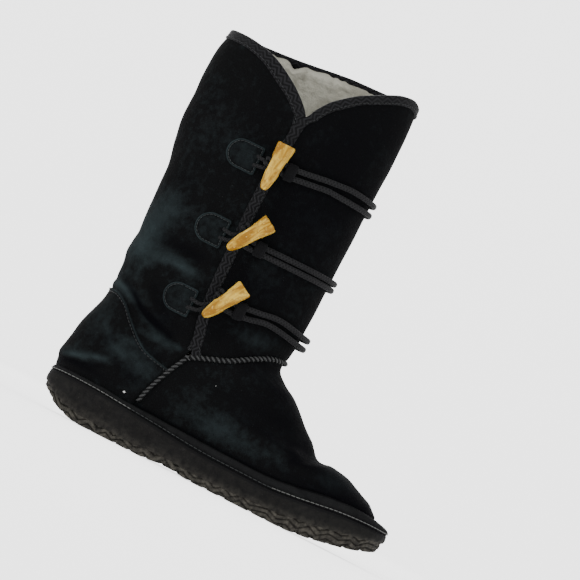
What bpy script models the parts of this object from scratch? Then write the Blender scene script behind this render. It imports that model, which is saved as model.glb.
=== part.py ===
"""Shearling boot for the right foot, built from separate pieces around one last.

Lengths are in millimetres, X from the back of the heel to the toe, Y to the inner side, Z up
from the floor. Each mesh is moved to the middle of the heel's resting pad and scaled to metres.
"""

import math

import bmesh
import bpy
import numpy as np

mm = 0.001
wall = 3.0               # thickness of the upper's leather
fit = 0.35               # air between pieces that lie on each other
heel_pad_x = 56.0        # middle of the pad under the heel, where the origin is
sole_length = 271.5
toe_shift = 7.0          # how far the toe swings to the inner side
quarter_columns = 10     # columns of the upper in each quarter turn
slit_half_gap = 1.7
slit_row = 5.2           # row of the upper where the slit ends
shaft_row = 8            # from this row up the rows are level
shaft_steps = 9
insole_gap = 1.1         # between the footbed and the upper's wall
insole_thick = 3.6
counter_thick = 1.8      # from the leather to the counter's face
tab_thick = 1.9
tape_lift = 1.15         # from the leather to the tape's face, on both sides of the wall
tape_back_leg = 3.2      # width of the tape on the slit's back edge, collar and front edge
tape_collar_leg = 7.0
tape_slope_leg = 5.6       # the same on the collar's slope in front of the slit
tape_front_leg = 5.0
tape_inner_leg = 5.0
seam_lift = 2.8          # from the leather to the top of a raised seam
tread_inset = 1.3        # how far the tread stands back from the side band
cord_radius = 1.6
short_cord_radius = 1.2
short_cord_gap = 2.0     # half the distance between a short cord's strands at the toggle
cord_lift = 3.35         # from the leather to a long cord's axis near the keeper
cord_low_lift = 2.1      # the same further on
keeper_length = 8.0
toggle_length = 36.0
toggle_offset = 11.6     # from the leather to a toggle's axis
slot_length = 9.0
slot_at = 16.5           # from a toggle's wide end to the middle of its slot

# Rows of the upper from its lower rim to above the collar. Half widths outer (lateral) and inner
# (medial), where along the row they are widest, how much the waist draws in, how square the back
# and front ends are, how far the row follows the dip of the sole, and where the side seam is.
row_names = ("back_x", "back_z", "front_x", "front_z", "outer", "inner", "outer_at", "inner_at",
             "outer_waist", "inner_waist", "back_n", "front_n", "follow", "seam_x")
rows = np.array([
    (4.2, 28.7, 257.0, 29.2, 45.0, 43.0, 0.64, 0.70, 6.0, 10.0, 2.65, 2.3, 1.00, 66.5),
    (2.2, 36.5, 257.6, 36.0, 47.0, 45.0, 0.63, 0.69, 5.5, 9.5, 2.65, 2.4, 0.90, 67.6),
    (2.2, 45.0, 243.0, 44.3, 47.5, 45.0, 0.61, 0.66, 4.0, 7.5, 2.65, 2.5, 0.70, 70.0),
    (4.0, 57.0, 222.5, 51.2, 46.5, 44.0, 0.58, 0.61, 2.0, 4.5, 2.6, 2.6, 0.45, 74.5),
    (6.1, 68.7, 200.0, 55.5, 44.0, 42.5, 0.55, 0.56, 0.5, 1.5, 2.5, 2.6, 0.25, 80.0),
    (9.0, 79.0, 183.5, 72.3, 42.0, 41.0, 0.52, 0.53, 0.0, 0.5, 2.4, 2.5, 0.10, 84.3),
    (11.8, 88.0, 167.0, 86.5, 40.5, 39.5, 0.51, 0.51, 0.0, 0.0, 2.3, 2.4, 0.00, 86.0),
    (13.2, 94.5, 156.0, 93.5, 39.5, 39.0, 0.50, 0.50, 0.0, 0.0, 2.3, 2.3, 0.00, 85.5),
    (13.9, 102.0, 148.6, 102.0, 38.8, 38.5, 0.50, 0.50, 0.0, 0.0, 2.2, 2.2, 0.00, 83.6),
    (13.6, 112.0, 150.2, 112.0, 38.8, 38.6, 0.50, 0.50, 0.0, 0.0, 2.2, 2.2, 0.00, 81.4),
    (13.0, 124.0, 151.3, 124.0, 39.2, 39.2, 0.50, 0.50, 0.0, 0.0, 2.2, 2.2, 0.00, 80.2),
    (11.9, 142.0, 151.6, 142.0, 40.0, 40.0, 0.50, 0.50, 0.0, 0.0, 2.2, 2.2, 0.00, 79.2),
    (10.5, 162.0, 151.9, 162.0, 40.6, 40.6, 0.50, 0.50, 0.0, 0.0, 2.2, 2.2, 0.00, 78.6),
    (7.0, 200.0, 152.2, 200.0, 41.5, 41.5, 0.50, 0.50, 0.0, 0.0, 2.2, 2.2, 0.00, 77.8),
    (3.9, 218.0, 152.4, 218.0, 41.9, 41.9, 0.50, 0.50, 0.0, 0.0, 2.2, 2.2, 0.00, 78.0),
    (1.2, 238.0, 152.8, 238.0, 42.2, 42.2, 0.50, 0.50, 0.0, 0.0, 2.2, 2.2, 0.00, 78.6),
    (0.3, 262.0, 153.2, 262.0, 42.5, 42.5, 0.50, 0.50, 0.0, 0.0, 2.2, 2.2, 0.00, 81.6),
    (1.5, 287.0, 153.0, 287.0, 42.3, 42.3, 0.50, 0.50, 0.0, 0.0, 2.2, 2.2, 0.00, 83.6),
    (5.2, 302.0, 152.3, 302.0, 41.8, 41.8, 0.50, 0.50, 0.0, 0.0, 2.2, 2.2, 0.00, 84.0),
    (8.5, 320.0, 150.6, 320.0, 41.0, 41.0, 0.50, 0.50, 0.0, 0.0, 2.2, 2.2, 0.00, 84.0),
])

# The sole's outline uses the same shape of row.
outline_row = dict(back_x=0.0, front_x=sole_length, outer=51.5, inner=49.0, outer_at=0.63,
                   inner_at=0.70, outer_waist=4.5, inner_waist=8.0, back_n=2.75, front_n=2.3)

# x, height of the sole's upper edge, height of the welt's top, height of the sole's underside,
# height of the step where the side band ends and the tread begins
sole_lines = np.array([
    (0.0, 27.5, 31.4, 13.0, 18.6),
    (10.0, 28.3, 31.9, 7.5, 12.8),
    (22.0, 28.4, 32.2, 2.6, 8.4),
    (36.0, 28.0, 32.0, 0.0, 6.4),
    (60.0, 26.4, 30.6, 0.0, 5.6),
    (84.0, 24.6, 30.0, 0.0, 5.6),
    (106.0, 22.5, 29.6, 1.6, 6.4),
    (128.0, 21.0, 29.1, 0.0, 5.6),
    (150.0, 20.7, 28.7, 0.0, 6.2),
    (172.0, 20.6, 28.5, 0.0, 7.4),
    (196.0, 22.6, 30.6, 0.0, 9.0),
    (214.0, 25.0, 33.4, 1.4, 11.4),
    (232.0, 27.4, 35.8, 4.2, 14.4),
    (250.0, 28.7, 36.8, 8.0, 18.0),
    (262.0, 29.0, 36.0, 11.5, 20.4),
    (271.5, 28.9, 34.5, 15.0, 22.2),
])

# x, collar height on the outer side, collar height on the inner side
collar_lines = np.array([
    (5.0, 304.0, 304.4),
    (19.0, 302.8, 305.8),
    (39.0, 298.4, 307.8),
    (59.0, 288.4, 310.0),
    (70.0, 280.6, 311.5),
    (77.0, 274.2, 312.5),
    (83.4, 267.5, 313.4),
    (86.0, 274.6, 313.8),
    (90.0, 281.2, 314.2),
    (94.5, 287.0, 314.8),
    (99.5, 291.6, 315.2),
    (109.0, 299.2, 315.6),
    (119.0, 305.2, 315.8),
    (129.0, 310.8, 316.0),
    (139.0, 315.4, 316.2),
    (146.0, 316.8, 316.2),
    (152.0, 313.8, 313.8),
])

# The tread's lugs: even pitch, with longer pads to rest on under the heel and the ball.
lug_pitch = 12.0
lug_length = 8.5
pads = ((48.0, 64.0), (154.0, 172.0))
groove_depth = 2.2
groove_slant = 1.2

# left and right edge, middle height and half height of each tab, then the toggle's wide end
# and tip as seen from the side, and how far below its slot the short cord slips under it
closures = [
    dict(back=41.6, edge=67.4, z=225.6, half=11.0, wide=(79.5, 244.4), tip=(78.2, 209.3), below=1.0),
    dict(back=45.6, edge=69.4, z=168.2, half=11.4, wide=(93.4, 189.2), tip=(75.4, 161.2), below=4.0),
    dict(back=47.6, edge=71.2, z=113.6, half=11.0, wide=(98.4, 140.2), tip=(80.7, 110.4), below=5.0),
]

# x and height of the upper and lower strand of each long cord on the outer side
strands = [
    (((83.0, 233.0), (86.0, 232.0), (121.0, 236.6), (136.0, 238.2), (152.0, 237.2)),
     ((83.0, 226.4), (86.3, 225.4), (106.6, 227.8), (121.5, 229.8), (152.0, 229.6))),
    (((86.0, 173.2), (91.5, 172.6), (125.0, 173.4), (140.0, 173.8), (152.0, 174.0)),
     ((86.0, 167.2), (91.8, 167.4), (125.0, 168.2), (140.0, 168.7), (152.0, 168.9))),
    (((91.2, 127.2), (98.5, 127.6), (115.0, 129.6), (130.0, 131.8), (152.0, 128.4)),
     ((91.2, 120.8), (98.8, 120.6), (108.3, 121.9), (125.0, 125.2), (152.0, 121.8))),
]
front_slack = (0.8, 1.4, 3.6)   # how far each long cord stands off at the front
inner_tab_back = 96.0
inner_tab_edge = 120.0


def slopes(xs, ys):
    """Slopes that keep a smooth curve from swinging past its points."""
    step = np.diff(xs)
    rise = np.diff(ys) / step
    slope = np.zeros(len(xs))
    slope[0] = rise[0]
    slope[-1] = rise[-1]
    for i in range(1, len(xs) - 1):
        if rise[i - 1] * rise[i] > 0:
            a = 2 * step[i] + step[i - 1]
            b = step[i] + 2 * step[i - 1]
            slope[i] = (a + b) / (a / rise[i - 1] + b / rise[i])
    return slope


def curve(xs, ys, x):
    """Smooth curve through the points (xs, ys)."""
    xs = np.asarray(xs, float)
    ys = np.asarray(ys, float)
    slope = slopes(xs, ys)
    x = np.clip(np.asarray(x, float), xs[0], xs[-1])
    i = np.clip(np.searchsorted(xs, x, side="right") - 1, 0, len(xs) - 2)
    h = xs[i + 1] - xs[i]
    u = (x - xs[i]) / h
    return ((2 * u**3 - 3 * u**2 + 1) * ys[i] + (u**3 - 2 * u**2 + u) * h * slope[i]
            + (3 * u**2 - 2 * u**3) * ys[i + 1] + (u**3 - u**2) * h * slope[i + 1])


def row_value(name, t):
    return curve(np.arange(len(rows)), rows[:, row_names.index(name)], t)


def sole_top(x):
    return curve(sole_lines[:, 0], sole_lines[:, 1], x)


def welt_top(x):
    return curve(sole_lines[:, 0], sole_lines[:, 2], x)


def sole_bottom(x):
    return curve(sole_lines[:, 0], sole_lines[:, 3], x)


def band_bottom(x):
    return curve(sole_lines[:, 0], sole_lines[:, 4], x)


def end_cap(s, at, back_n, front_n):
    """Half width along a row: 1 at the widest place, 0 at both ends."""
    back = np.clip((at - s) / at, 0.0, 1.0)
    front = np.clip((s - at) / (1 - at), 0.0, 1.0)
    n = np.where(s < at, back_n, front_n)
    reach = np.where(s < at, back, front)
    return np.clip(1 - reach**n, 0.0, 1.0) ** (1 / n)


def half_width(s, is_outer, values):
    w = np.where(is_outer, values["outer"], values["inner"])
    at = np.where(is_outer, values["outer_at"], values["inner_at"])
    waist = np.where(is_outer, values["outer_waist"], values["inner_waist"])
    return w * end_cap(s, at, values["back_n"], values["front_n"]) - waist * np.exp(-((s - 0.42) / 0.15) ** 2)


def toe_swing(x):
    return toe_shift * (np.clip(x - 140.0, 0.0, None) / 130.0) ** 2


def seam_share(t):
    """Share of the row's length behind the side seam."""
    back = row_value("back_x", t)
    return (row_value("seam_x", t) - back) / (row_value("front_x", t) - back)


def share_from_angle(angle, t):
    """Share along the row: 0 at the back for angle 0, the side seam at 90 degrees, 1 at the front."""
    plain = (1 - np.cos(angle)) / 2
    seam = seam_share(t)
    return np.where(plain < 0.5, plain * seam / 0.5, 1 - (1 - plain) * (1 - seam) / 0.5)


def angle_from_share(s, t):
    seam = seam_share(t)
    plain = np.where(s < seam, s * 0.5 / seam, 1 - (1 - s) * 0.5 / (1 - seam))
    return np.arccos(np.clip(1 - 2 * plain, -1.0, 1.0))


def row_height(s, t):
    back_x = row_value("back_x", t)
    front_x = row_value("front_x", t)
    level = row_value("back_z", t) * (1 - s) + row_value("front_z", t) * s
    dip = sole_top(back_x + s * (front_x - back_x)) - sole_top(back_x) * (1 - s) - sole_top(front_x) * s
    return level + row_value("follow", t) * dip


def leather(angle, t):
    """Point of the upper's outer face. Angles to 180 degrees are the outer side."""
    angle = np.asarray(angle, float)
    t = np.asarray(t, float)
    s = share_from_angle(angle, t)
    back_x = row_value("back_x", t)
    x = back_x + s * (row_value("front_x", t) - back_x)
    is_outer = np.mod(angle, 2 * math.pi) < math.pi
    values = {name: row_value(name, t) for name in row_names[4:12]}
    side = np.where(is_outer, -1.0, 1.0) * half_width(s, is_outer, values)
    return np.stack(np.broadcast_arrays(x, side + toe_swing(x), row_height(s, t)), axis=-1)


def upper_point(angle, t, offset=0.0):
    """Point at a distance outward from the upper's outer face."""
    angle, t = np.broadcast_arrays(np.asarray(angle, float), np.asarray(t, float))
    around = leather(angle + 0.02, t) - leather(angle - 0.02, t)
    low = np.clip(t - 0.03, 0.0, len(rows) - 1)
    high = np.clip(t + 0.03, 0.0, len(rows) - 1)
    upward = leather(angle, high) - leather(angle, low)
    normal = np.cross(around, upward)
    normal /= np.linalg.norm(normal, axis=-1, keepdims=True)
    return leather(angle, t) + normal * np.asarray(offset, float)[..., None]


def row_at_height(z):
    """Row of the shaft at a height; the shaft's rows are level."""
    t = np.linspace(shaft_row, len(rows) - 1, 400)
    return np.interp(z, row_value("back_z", t), t)


def side_place(x, z):
    """Angle and row of the outer side's point with this x and height."""
    low = 0.0
    high = float(len(rows) - 1)
    for _ in range(44):
        t = (low + high) / 2
        back_x = row_value("back_x", t)
        s = np.clip((x - back_x) / (row_value("front_x", t) - back_x), 0.0, 1.0)
        if row_height(s, t) < z:
            low = t
        else:
            high = t
    return float(angle_from_share(s, t)), t


def row_at(angle, z):
    """Row where the upper has this height at this angle."""
    low = 0.0
    high = float(len(rows) - 1)
    for _ in range(40):
        t = (low + high) / 2
        if leather(angle, t)[2] < z:
            low = t
        else:
            high = t
    return t


def side_point(x, z, offset, is_outer=True):
    angle, t = side_place(x, z)
    return upper_point(angle if is_outer else 2 * math.pi - angle, t, offset)


def outline_point(angle, inset=0.0):
    """Point of the sole's outline; its seam lies where the upper's lowest row has it."""
    s = share_from_angle(angle, np.zeros_like(angle))
    x = inset + s * (sole_length - 2 * inset)
    is_outer = np.mod(angle, 2 * math.pi) < math.pi
    width = half_width(s, is_outer, outline_row) - inset * np.minimum(1.0, 40 * s * (1 - s))
    return x, np.where(is_outer, -1.0, 1.0) * np.clip(width, 0.0, None) + toe_swing(x)


def material(name, colour, roughness):
    made = bpy.data.materials.new(name)
    made.use_nodes = True
    shader = made.node_tree.nodes["Principled BSDF"]
    shader.inputs["Base Color"].default_value = (*colour, 1.0)
    shader.inputs["Roughness"].default_value = roughness
    return made


def add_piece(name, points, faces, look, smooth=True):
    mesh = bpy.data.meshes.new(name)
    placed = [((p[0] - heel_pad_x) * mm, p[1] * mm, p[2] * mm) for p in points]
    mesh.from_pydata(placed, [], faces)
    work = bmesh.new()
    work.from_mesh(mesh)
    bmesh.ops.remove_doubles(work, verts=work.verts, dist=1e-6)
    bmesh.ops.recalc_face_normals(work, faces=work.faces)
    for face in work.faces:
        face.smooth = smooth
    work.to_mesh(mesh)
    work.free()
    mesh.materials.append(look)
    piece = bpy.data.objects.new(name, mesh)
    bpy.context.collection.objects.link(piece)
    return piece


def shell(outer, inner, kept):
    """Closed body between two grids of points; kept lists the cells as (row, column, next column)."""
    rows_count, columns = outer.shape[:2]
    points = [*outer.reshape(-1, 3), *inner.reshape(-1, 3)]
    shift = rows_count * columns
    faces = []
    edges = {}
    for i, j, k in kept:
        corners = (i * columns + j, i * columns + k, (i + 1) * columns + k, (i + 1) * columns + j)
        faces.append(corners)
        faces.append(tuple(c + shift for c in reversed(corners)))
        for a, b in zip(corners, corners[1:] + corners[:1]):
            if (b, a) in edges:
                del edges[b, a]
            else:
                edges[a, b] = True
    for a, b in edges:
        faces.append((b, a, a + shift, b + shift))
    return points, faces


def open_cells(rows_count, columns):
    return [(i, j, j + 1) for i in range(rows_count - 1) for j in range(columns - 1)]


def loft(rings):
    """Closed body through rings of equal count, capped with fans at both ends."""
    count = len(rings[0])
    points = [p for ring in rings for p in ring]
    faces = []
    for i in range(len(rings) - 1):
        for j in range(count):
            k = (j + 1) % count
            faces.append((i * count + j, i * count + k, (i + 1) * count + k, (i + 1) * count + j))
    faces.append(tuple(reversed(range(count))))
    last = (len(rings) - 1) * count
    faces.append(tuple(range(last, last + count)))
    return points, faces


def tube(path, radius, sides=6):
    path = np.asarray(path, float)
    along = np.gradient(path, axis=0)
    along /= np.linalg.norm(along, axis=1, keepdims=True)
    across = np.cross(along[0], (0.31, 0.87, 0.12))
    rings = []
    for place, ahead in zip(path, along):
        across = across - ahead * np.dot(across, ahead)
        across /= np.linalg.norm(across)
        third = np.cross(ahead, across)
        rings.append([place + radius * (math.cos(a) * across + math.sin(a) * third)
                      for a in np.linspace(0, 2 * math.pi, sides, endpoint=False)])
    return loft(rings)


def even(path, count):
    """The same path with points at equal spacing, smoothed through its corners."""
    path = np.asarray(path, float)
    reach = np.concatenate(([0.0], np.cumsum(np.linalg.norm(np.diff(path, axis=0), axis=1))))
    places = np.linspace(0.0, reach[-1], count)
    return np.stack([curve(reach, path[:, k], places) for k in range(3)], axis=1)


def upper_grid(offset):
    """Angles and rows of the upper's grid, two columns at the slit, then the points."""
    turns = np.linspace(0, 2 * math.pi, 4 * quarter_columns + 1)[:-1]
    foot = np.array([0, 0.45, 1, 1.6, 2.2, 2.8, 3.4, 4, 4.6, slit_row, 5.8, 6.4, 7, 7.5, shaft_row])
    columns = []
    for j, turn in enumerate(turns):
        for shift in ((-1, 1) if j == quarter_columns else (0,)):
            t = foot.copy()
            top = len(rows) - 2.0
            for _ in range(6):
                angle = shifted(turn, top, shift)
                x = leather(angle, top)[0]
                side = 1 if math.pi > turn > 0 else 2
                top = float(row_at_height(curve(collar_lines[:, 0], collar_lines[:, side], x)))
            share = np.linspace(0, 1, shaft_steps + 1)[1:]
            t = np.concatenate((t, shaft_row + (top - shaft_row) * share))
            angles = np.array([shifted(turn, each, shift) for each in t])
            columns.append((angles, t))
    angles = np.stack([c[0] for c in columns], axis=1)
    t = np.stack([c[1] for c in columns], axis=1)
    return angles, t, upper_point(angles, t, np.full(t.shape, offset))


def shifted(turn, t, side):
    """Angle at a row, moved to the slit's back edge (-1) or front edge (1)."""
    if side == 0:
        return turn
    length = row_value("front_x", t) - row_value("back_x", t)
    return float(angle_from_share(seam_share(t) + side * slit_half_gap / length, t))


def upper():
    angles, t, outer = upper_grid(0.0)
    inner = upper_point(angles, t, np.full(t.shape, -wall))
    inner[0, :, 2] = outer[0, :, 2]
    count, columns = t.shape
    slit = list(t[:, 0]).index(slit_row)
    kept = []
    for i in range(count - 1):
        for j in range(columns):
            if not (i >= slit and j == quarter_columns):
                kept.append((i, j, (j + 1) % columns))
    return shell(outer, inner, kept)


def lug_spans():
    """From and to of each lug."""
    spans = list(pads)
    runs = ((pads[0][0], 0.0, -1), (pads[0][1], pads[1][0], 1), (pads[1][1], sole_length, 1))
    for start, stop, step in runs:
        edge = start
        while (stop - edge) * step > lug_pitch:
            spans.append(tuple(sorted((edge + step * (lug_pitch - lug_length), edge + step * lug_pitch))))
            edge += step * lug_pitch
    return sorted(spans)


def outsole():
    """Stations along the sole, each a ring from the top edge down the side and across the tread."""
    xs = {0.12, 0.7, 2.0, 4.4} | {sole_length - e for e in (0.12, 0.7, 2.0, 4.4, 8.0)}
    level = {}
    lugs = lug_spans()
    for start, stop in lugs:
        for place, low in ((start, 0), (start + groove_slant, 1), (stop - groove_slant, 1), (stop, 0)):
            xs.add(place)
            level[place] = low
    rings = []
    for x in sorted(xs):
        s = x / sole_length
        low = level.get(x)
        if low is None:
            low = any(start <= x <= stop for start, stop in lugs)
        top = float(sole_top(x))
        under = float(sole_bottom(x)) + (0.0 if low else groove_depth)
        step = float(band_bottom(x))
        middle = float(toe_swing(x))
        ring = []
        for is_outer in (True, False):
            sign = -1.0 if is_outer else 1.0
            w = float(half_width(s, is_outer, outline_row))
            tread = max(w - tread_inset, w * 0.8)
            half = [(0.97 * w, top), (w, top - 1.2), (w, step + 0.7), (tread, step), (tread - 0.5, under)]
            side = [(x, middle + sign * y, z) for y, z in half]
            ring += side if is_outer else reversed(side)
        rings.append(ring)
    count = len(rings[0])
    points, faces = loft(rings)
    faces = faces[:-2]
    last = (len(rings) - 1) * count
    for base in (0, last):
        for i in range(count // 2 - 1):
            faces.append((base + i, base + i + 1, base + count - 2 - i, base + count - 1 - i))
    return points, faces


def welt():
    """Rolled strip on the edge of the sole, around the upper."""
    rings = []
    for angle in np.linspace(0, 2 * math.pi, 4 * quarter_columns, endpoint=False):
        low_in = upper_point(angle, 0.0, fit + 0.15)
        t = 0.0
        for _ in range(8):
            point = leather(angle, t)
            t = max(0.0, t + (float(welt_top(point[0])) - point[2]) / 8.0)
        high_in = upper_point(angle, t, fit + 0.4)
        mid_in = upper_point(angle, 0.45 if t > 0.6 else t / 2, fit + 0.5)
        x, y = outline_point(angle, 0.4)
        out = np.array([float(x), float(y), 0.0])
        flat_in = high_in * (1, 1, 0)
        base = float(sole_top(x)) + fit + 0.15
        top = float(welt_top(x))
        rise = top - base
        places = [low_in * (1, 1, 0) + (0, 0, float(sole_top(low_in[0])) + fit + 0.15), mid_in, high_in]
        for share, lift in ((0.45, 0.97), (0.86, 0.70), (1.0, 0.36), (0.97, 0.0)):
            spot = flat_in + (out - flat_in) * share
            places.append(spot + (0, 0, base + rise * lift))
        rings.append(places)
    count = len(rings[0])
    points = [p for ring in rings for p in ring]
    faces = []
    for i in range(len(rings)):
        n = (i + 1) % len(rings)
        for j in range(count):
            k = (j + 1) % count
            faces.append((i * count + j, i * count + k, n * count + k, n * count + j))
    return points, faces


def insole():
    """Footbed inside the upper's wall."""
    turns = np.linspace(0, 2 * math.pi, 40, endpoint=False)
    loops = []
    for t, lift in ((0.03, 0.0), (0.3, insole_thick)):
        edge = upper_point(turns, np.full(40, t), np.full(40, -wall - insole_gap))
        edge[:, 2] = sole_top(edge[:, 0]) + fit + lift
        loops.append(edge)
    bottom, top = loops
    points = [*bottom, *top]
    faces = []
    for i in range(40):
        j = (i + 1) % 40
        faces.append((i, j, 40 + j, 40 + i))
    for base in (0, 40):
        for i in range(1, 20):
            a, b = base + i, base + 40 - i
            c, d = base + i + 1, base + 40 - i - 1
            faces.append((a, b, c) if c == d else (a, b, d, c))
        faces.append((base, base + 1, base + 39))
    return points, faces


def heel_counter():
    """Overlay around the heel, from the welt to its curved upper edge."""
    edge = ((0.0, 99.2), (19.0, 98.2), (26.2, 94.5), (36.6, 84.6), (46.9, 75.4), (57.0, 69.0), (75.0, 64.6))
    reach = np.arange(-9, 10) * math.pi / (2 * quarter_columns)
    angles = []
    levels = []
    for turn in reach:
        t = 3.0
        for _ in range(12):
            point = leather(abs(turn), t)
            goal = float(np.interp(point[0], [e[0] for e in edge], [e[1] for e in edge]))
            t = max(0.4, t + (goal - point[2]) / 10.0)
        low = 0.5
        for _ in range(8):
            point = leather(abs(turn), low)
            low = max(0.0, low + (float(welt_top(point[0])) + 1.0 - point[2]) / 8.0)
        angles.append(turn)
        levels.append(np.linspace(low, t, 7))
    t = np.stack(levels, axis=1)
    turns = np.broadcast_to(np.mod(np.array(angles), 2 * math.pi), t.shape)
    outer = upper_point(turns, t, np.full(t.shape, counter_thick))
    inner = upper_point(turns, t, np.full(t.shape, fit + 0.25))
    return shell(outer, inner, open_cells(*t.shape))


def binding():
    """Tape folded over the edge: up the slit's back edge, around the collar, down its front edge."""
    angles, t, _ = upper_grid(0.0)
    count, columns = t.shape
    slit = list(t[:, 0]).index(slit_row)
    back, front = quarter_columns, quarter_columns + 1
    path = [(i, back, tape_back_leg) for i in range(slit + 1, count - 1)]
    middle = 2 * quarter_columns + 1
    path += [(count - 1, j % columns, tape_slope_leg if front <= j % columns < middle else tape_collar_leg)
             for j in range(back, front - columns - 1, -1)]
    path += [(i, front, tape_front_leg) for i in range(count - 2, slit, -1)]
    angle = np.unwrap(np.array([angles[i, j] for i, j, _ in path]))
    level = np.array([t[i, j] for i, j, _ in path])
    legs = np.array([leg for _, _, leg in path])
    spots = leather(angle, level)
    per_angle = np.linalg.norm(leather(angle + 0.01, level) - leather(angle - 0.01, level), axis=1) / 0.02
    per_row = np.linalg.norm(leather(angle, level + 0.02) - leather(angle, level - 0.02), axis=1) / 0.04
    ahead = np.diff(spots, axis=0)
    turn_step = np.diff(angle) * (per_angle[1:] + per_angle[:-1]) / 2
    flat = np.stack((turn_step, ahead[:, 2]), axis=1)
    flat /= np.linalg.norm(flat, axis=1, keepdims=True)
    before = np.concatenate((flat[:1], flat))
    after = np.concatenate((flat, flat[-1:]))
    mean = before + after
    mean /= np.linalg.norm(mean, axis=1, keepdims=True)
    stretch = 1 / np.clip(np.sum(mean * before, axis=1), 0.72, 1.0)
    inward = np.stack((-mean[:, 1], mean[:, 0]), axis=1) * stretch[:, None]
    outer_profile = ((None, tape_lift), (-0.95, tape_lift), (-1.3, -wall / 2), (-0.95, -wall - tape_lift),
                     (tape_inner_leg, -wall - tape_lift))
    inner_profile = ((None, fit), (-0.35, fit), (-0.42, -wall / 2), (-0.35, -wall - fit),
                     (tape_inner_leg, -wall - fit))
    grids = []
    for profile in (outer_profile, inner_profile):
        lines = []
        for reach, offset in profile:
            d = legs if reach is None else np.full(len(legs), reach)
            if reach == tape_inner_leg:
                d = np.minimum(legs, tape_inner_leg)
            place = angle + inward[:, 0] * d / per_angle
            row = level + inward[:, 1] * d / per_row
            lines.append(upper_point(place, row, np.full(len(d), offset)))
        grids.append(np.stack(lines))
    return shell(*grids, open_cells(*grids[0].shape[:2]))


def raised_seam(spots, is_outer=True, both=False):
    """Low rounded bead along a line of (angle, row) spots of the upper's outer side."""
    if both:
        spots += [(2 * math.pi - a, t) for a, t in reversed(spots[:-1])]
    elif not is_outer:
        spots = [(2 * math.pi - a, t) for a, t in spots]
    angle = np.array([a for a, _ in spots])
    level = np.array([t for _, t in spots])
    middle = upper_point(angle, level, np.zeros(len(angle)))
    raised = upper_point(angle, level, np.ones(len(angle)))
    out = raised - middle
    ahead = np.gradient(middle, axis=0)
    ahead /= np.linalg.norm(ahead, axis=1, keepdims=True)
    across = np.cross(ahead, out)
    rings = []
    for i in range(len(angle)):
        half = ((1.8, fit + 0.3), (1.6, seam_lift - 1.0), (0.7, seam_lift))
        profile = [(-w, h) for w, h in half] + list(reversed(half))
        rings.append([middle[i] + across[i] * w + out[i] * h for w, h in profile])
    return loft(rings)


def to_front(places, count):
    """Spots at even angles along a line of (x, height) places that ends at the front."""
    xs = [p[0] for p in places]
    zs = [p[1] for p in places]
    first, t = side_place(*places[0])
    spots = []
    for angle in np.linspace(first, math.pi, count):
        for _ in range(6):
            x = float(leather(angle, t)[0])
            t = row_at(angle, float(curve(xs, zs, x)))
        spots.append((float(angle), t))
    return spots


def tab(back, edge, z, half, is_outer=True):
    """D-shaped tab, straight on the side of the slit and rounded on the other."""
    rows_count = 7
    outer = []
    inner = []
    for share in np.linspace(-1, 1, rows_count):
        height = z + half * math.sin(share * math.pi / 2)
        left = back + half * (1 - math.cos(share * math.pi / 2))
        xs = left + (edge - left) * np.array([0.0, 0.33, 0.66, 1.0])
        outer.append([side_point(x, height, tab_thick, is_outer) for x in xs])
        inner.append([side_point(x, height, fit, is_outer) for x in xs])
    return shell(np.array(outer), np.array(inner), open_cells(rows_count, 4))


def toggle_frame(closure):
    """Middle of the slot, direction to the wide end, outward direction and direction across."""
    wide = side_point(*closure["wide"], 0.0)
    tip = side_point(*closure["tip"], 0.0)
    share = slot_at / toggle_length
    x = closure["wide"][0] * (1 - share) + closure["tip"][0] * share
    z = closure["wide"][1] * (1 - share) + closure["tip"][1] * share
    foot = side_point(x, z, 0.0)
    out = side_point(x, z, 1.0) - foot
    axis = wide - tip
    axis -= out * np.dot(axis, out)
    axis /= np.linalg.norm(axis)
    return foot + out * toggle_offset, axis, out, np.cross(axis, out)


def toggle(closure):
    """Tapered body with a blind bore in the wide end and a slot through it from side to side."""
    middle, axis, out, across = toggle_frame(closure)
    columns = 12
    profile = ((0.0, 6.5), (0.7, 6.8), (slot_at - slot_length / 2, 6.1), (slot_at + slot_length / 2, 5.4),
               (27.5, 4.6), (32.5, 3.7), (35.2, 2.3), (toggle_length, 0.9))
    bore = ((0.0, 5.2), (1.2, 4.7), (8.0, 4.0))
    start = middle + axis * slot_at

    def ring(at, radius):
        turn = (np.arange(columns) + 0.5) / columns * 2 * math.pi
        return [start - axis * at + radius * (across * math.cos(a) + out * 0.94 * math.sin(a))
                for a in turn]

    rings = [ring(*place) for place in reversed(bore)] + [ring(*place) for place in profile]
    count = len(rings)
    points = [p for each in rings for p in each]
    faces = []
    slot_ring = len(bore) + 2
    openings = (columns - 1, columns // 2 - 1)
    for i in range(count - 1):
        for j in range(columns):
            if i == slot_ring and j in openings:
                continue
            k = (j + 1) % columns
            faces.append((i * columns + j, i * columns + k, (i + 1) * columns + k, (i + 1) * columns + j))
    faces.append(tuple(reversed(range(columns))))
    faces.append(tuple(range((count - 1) * columns, count * columns)))
    low = slot_ring * columns
    high = low + columns
    near = (low + columns - 1, low, high, high + columns - 1)
    far = (low + columns // 2, low + columns // 2 - 1, high + columns // 2 - 1, high + columns // 2)
    for i in range(4):
        j = (i + 1) % 4
        faces.append((near[i], near[j], far[j], far[i]))
    return points, faces


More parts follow.
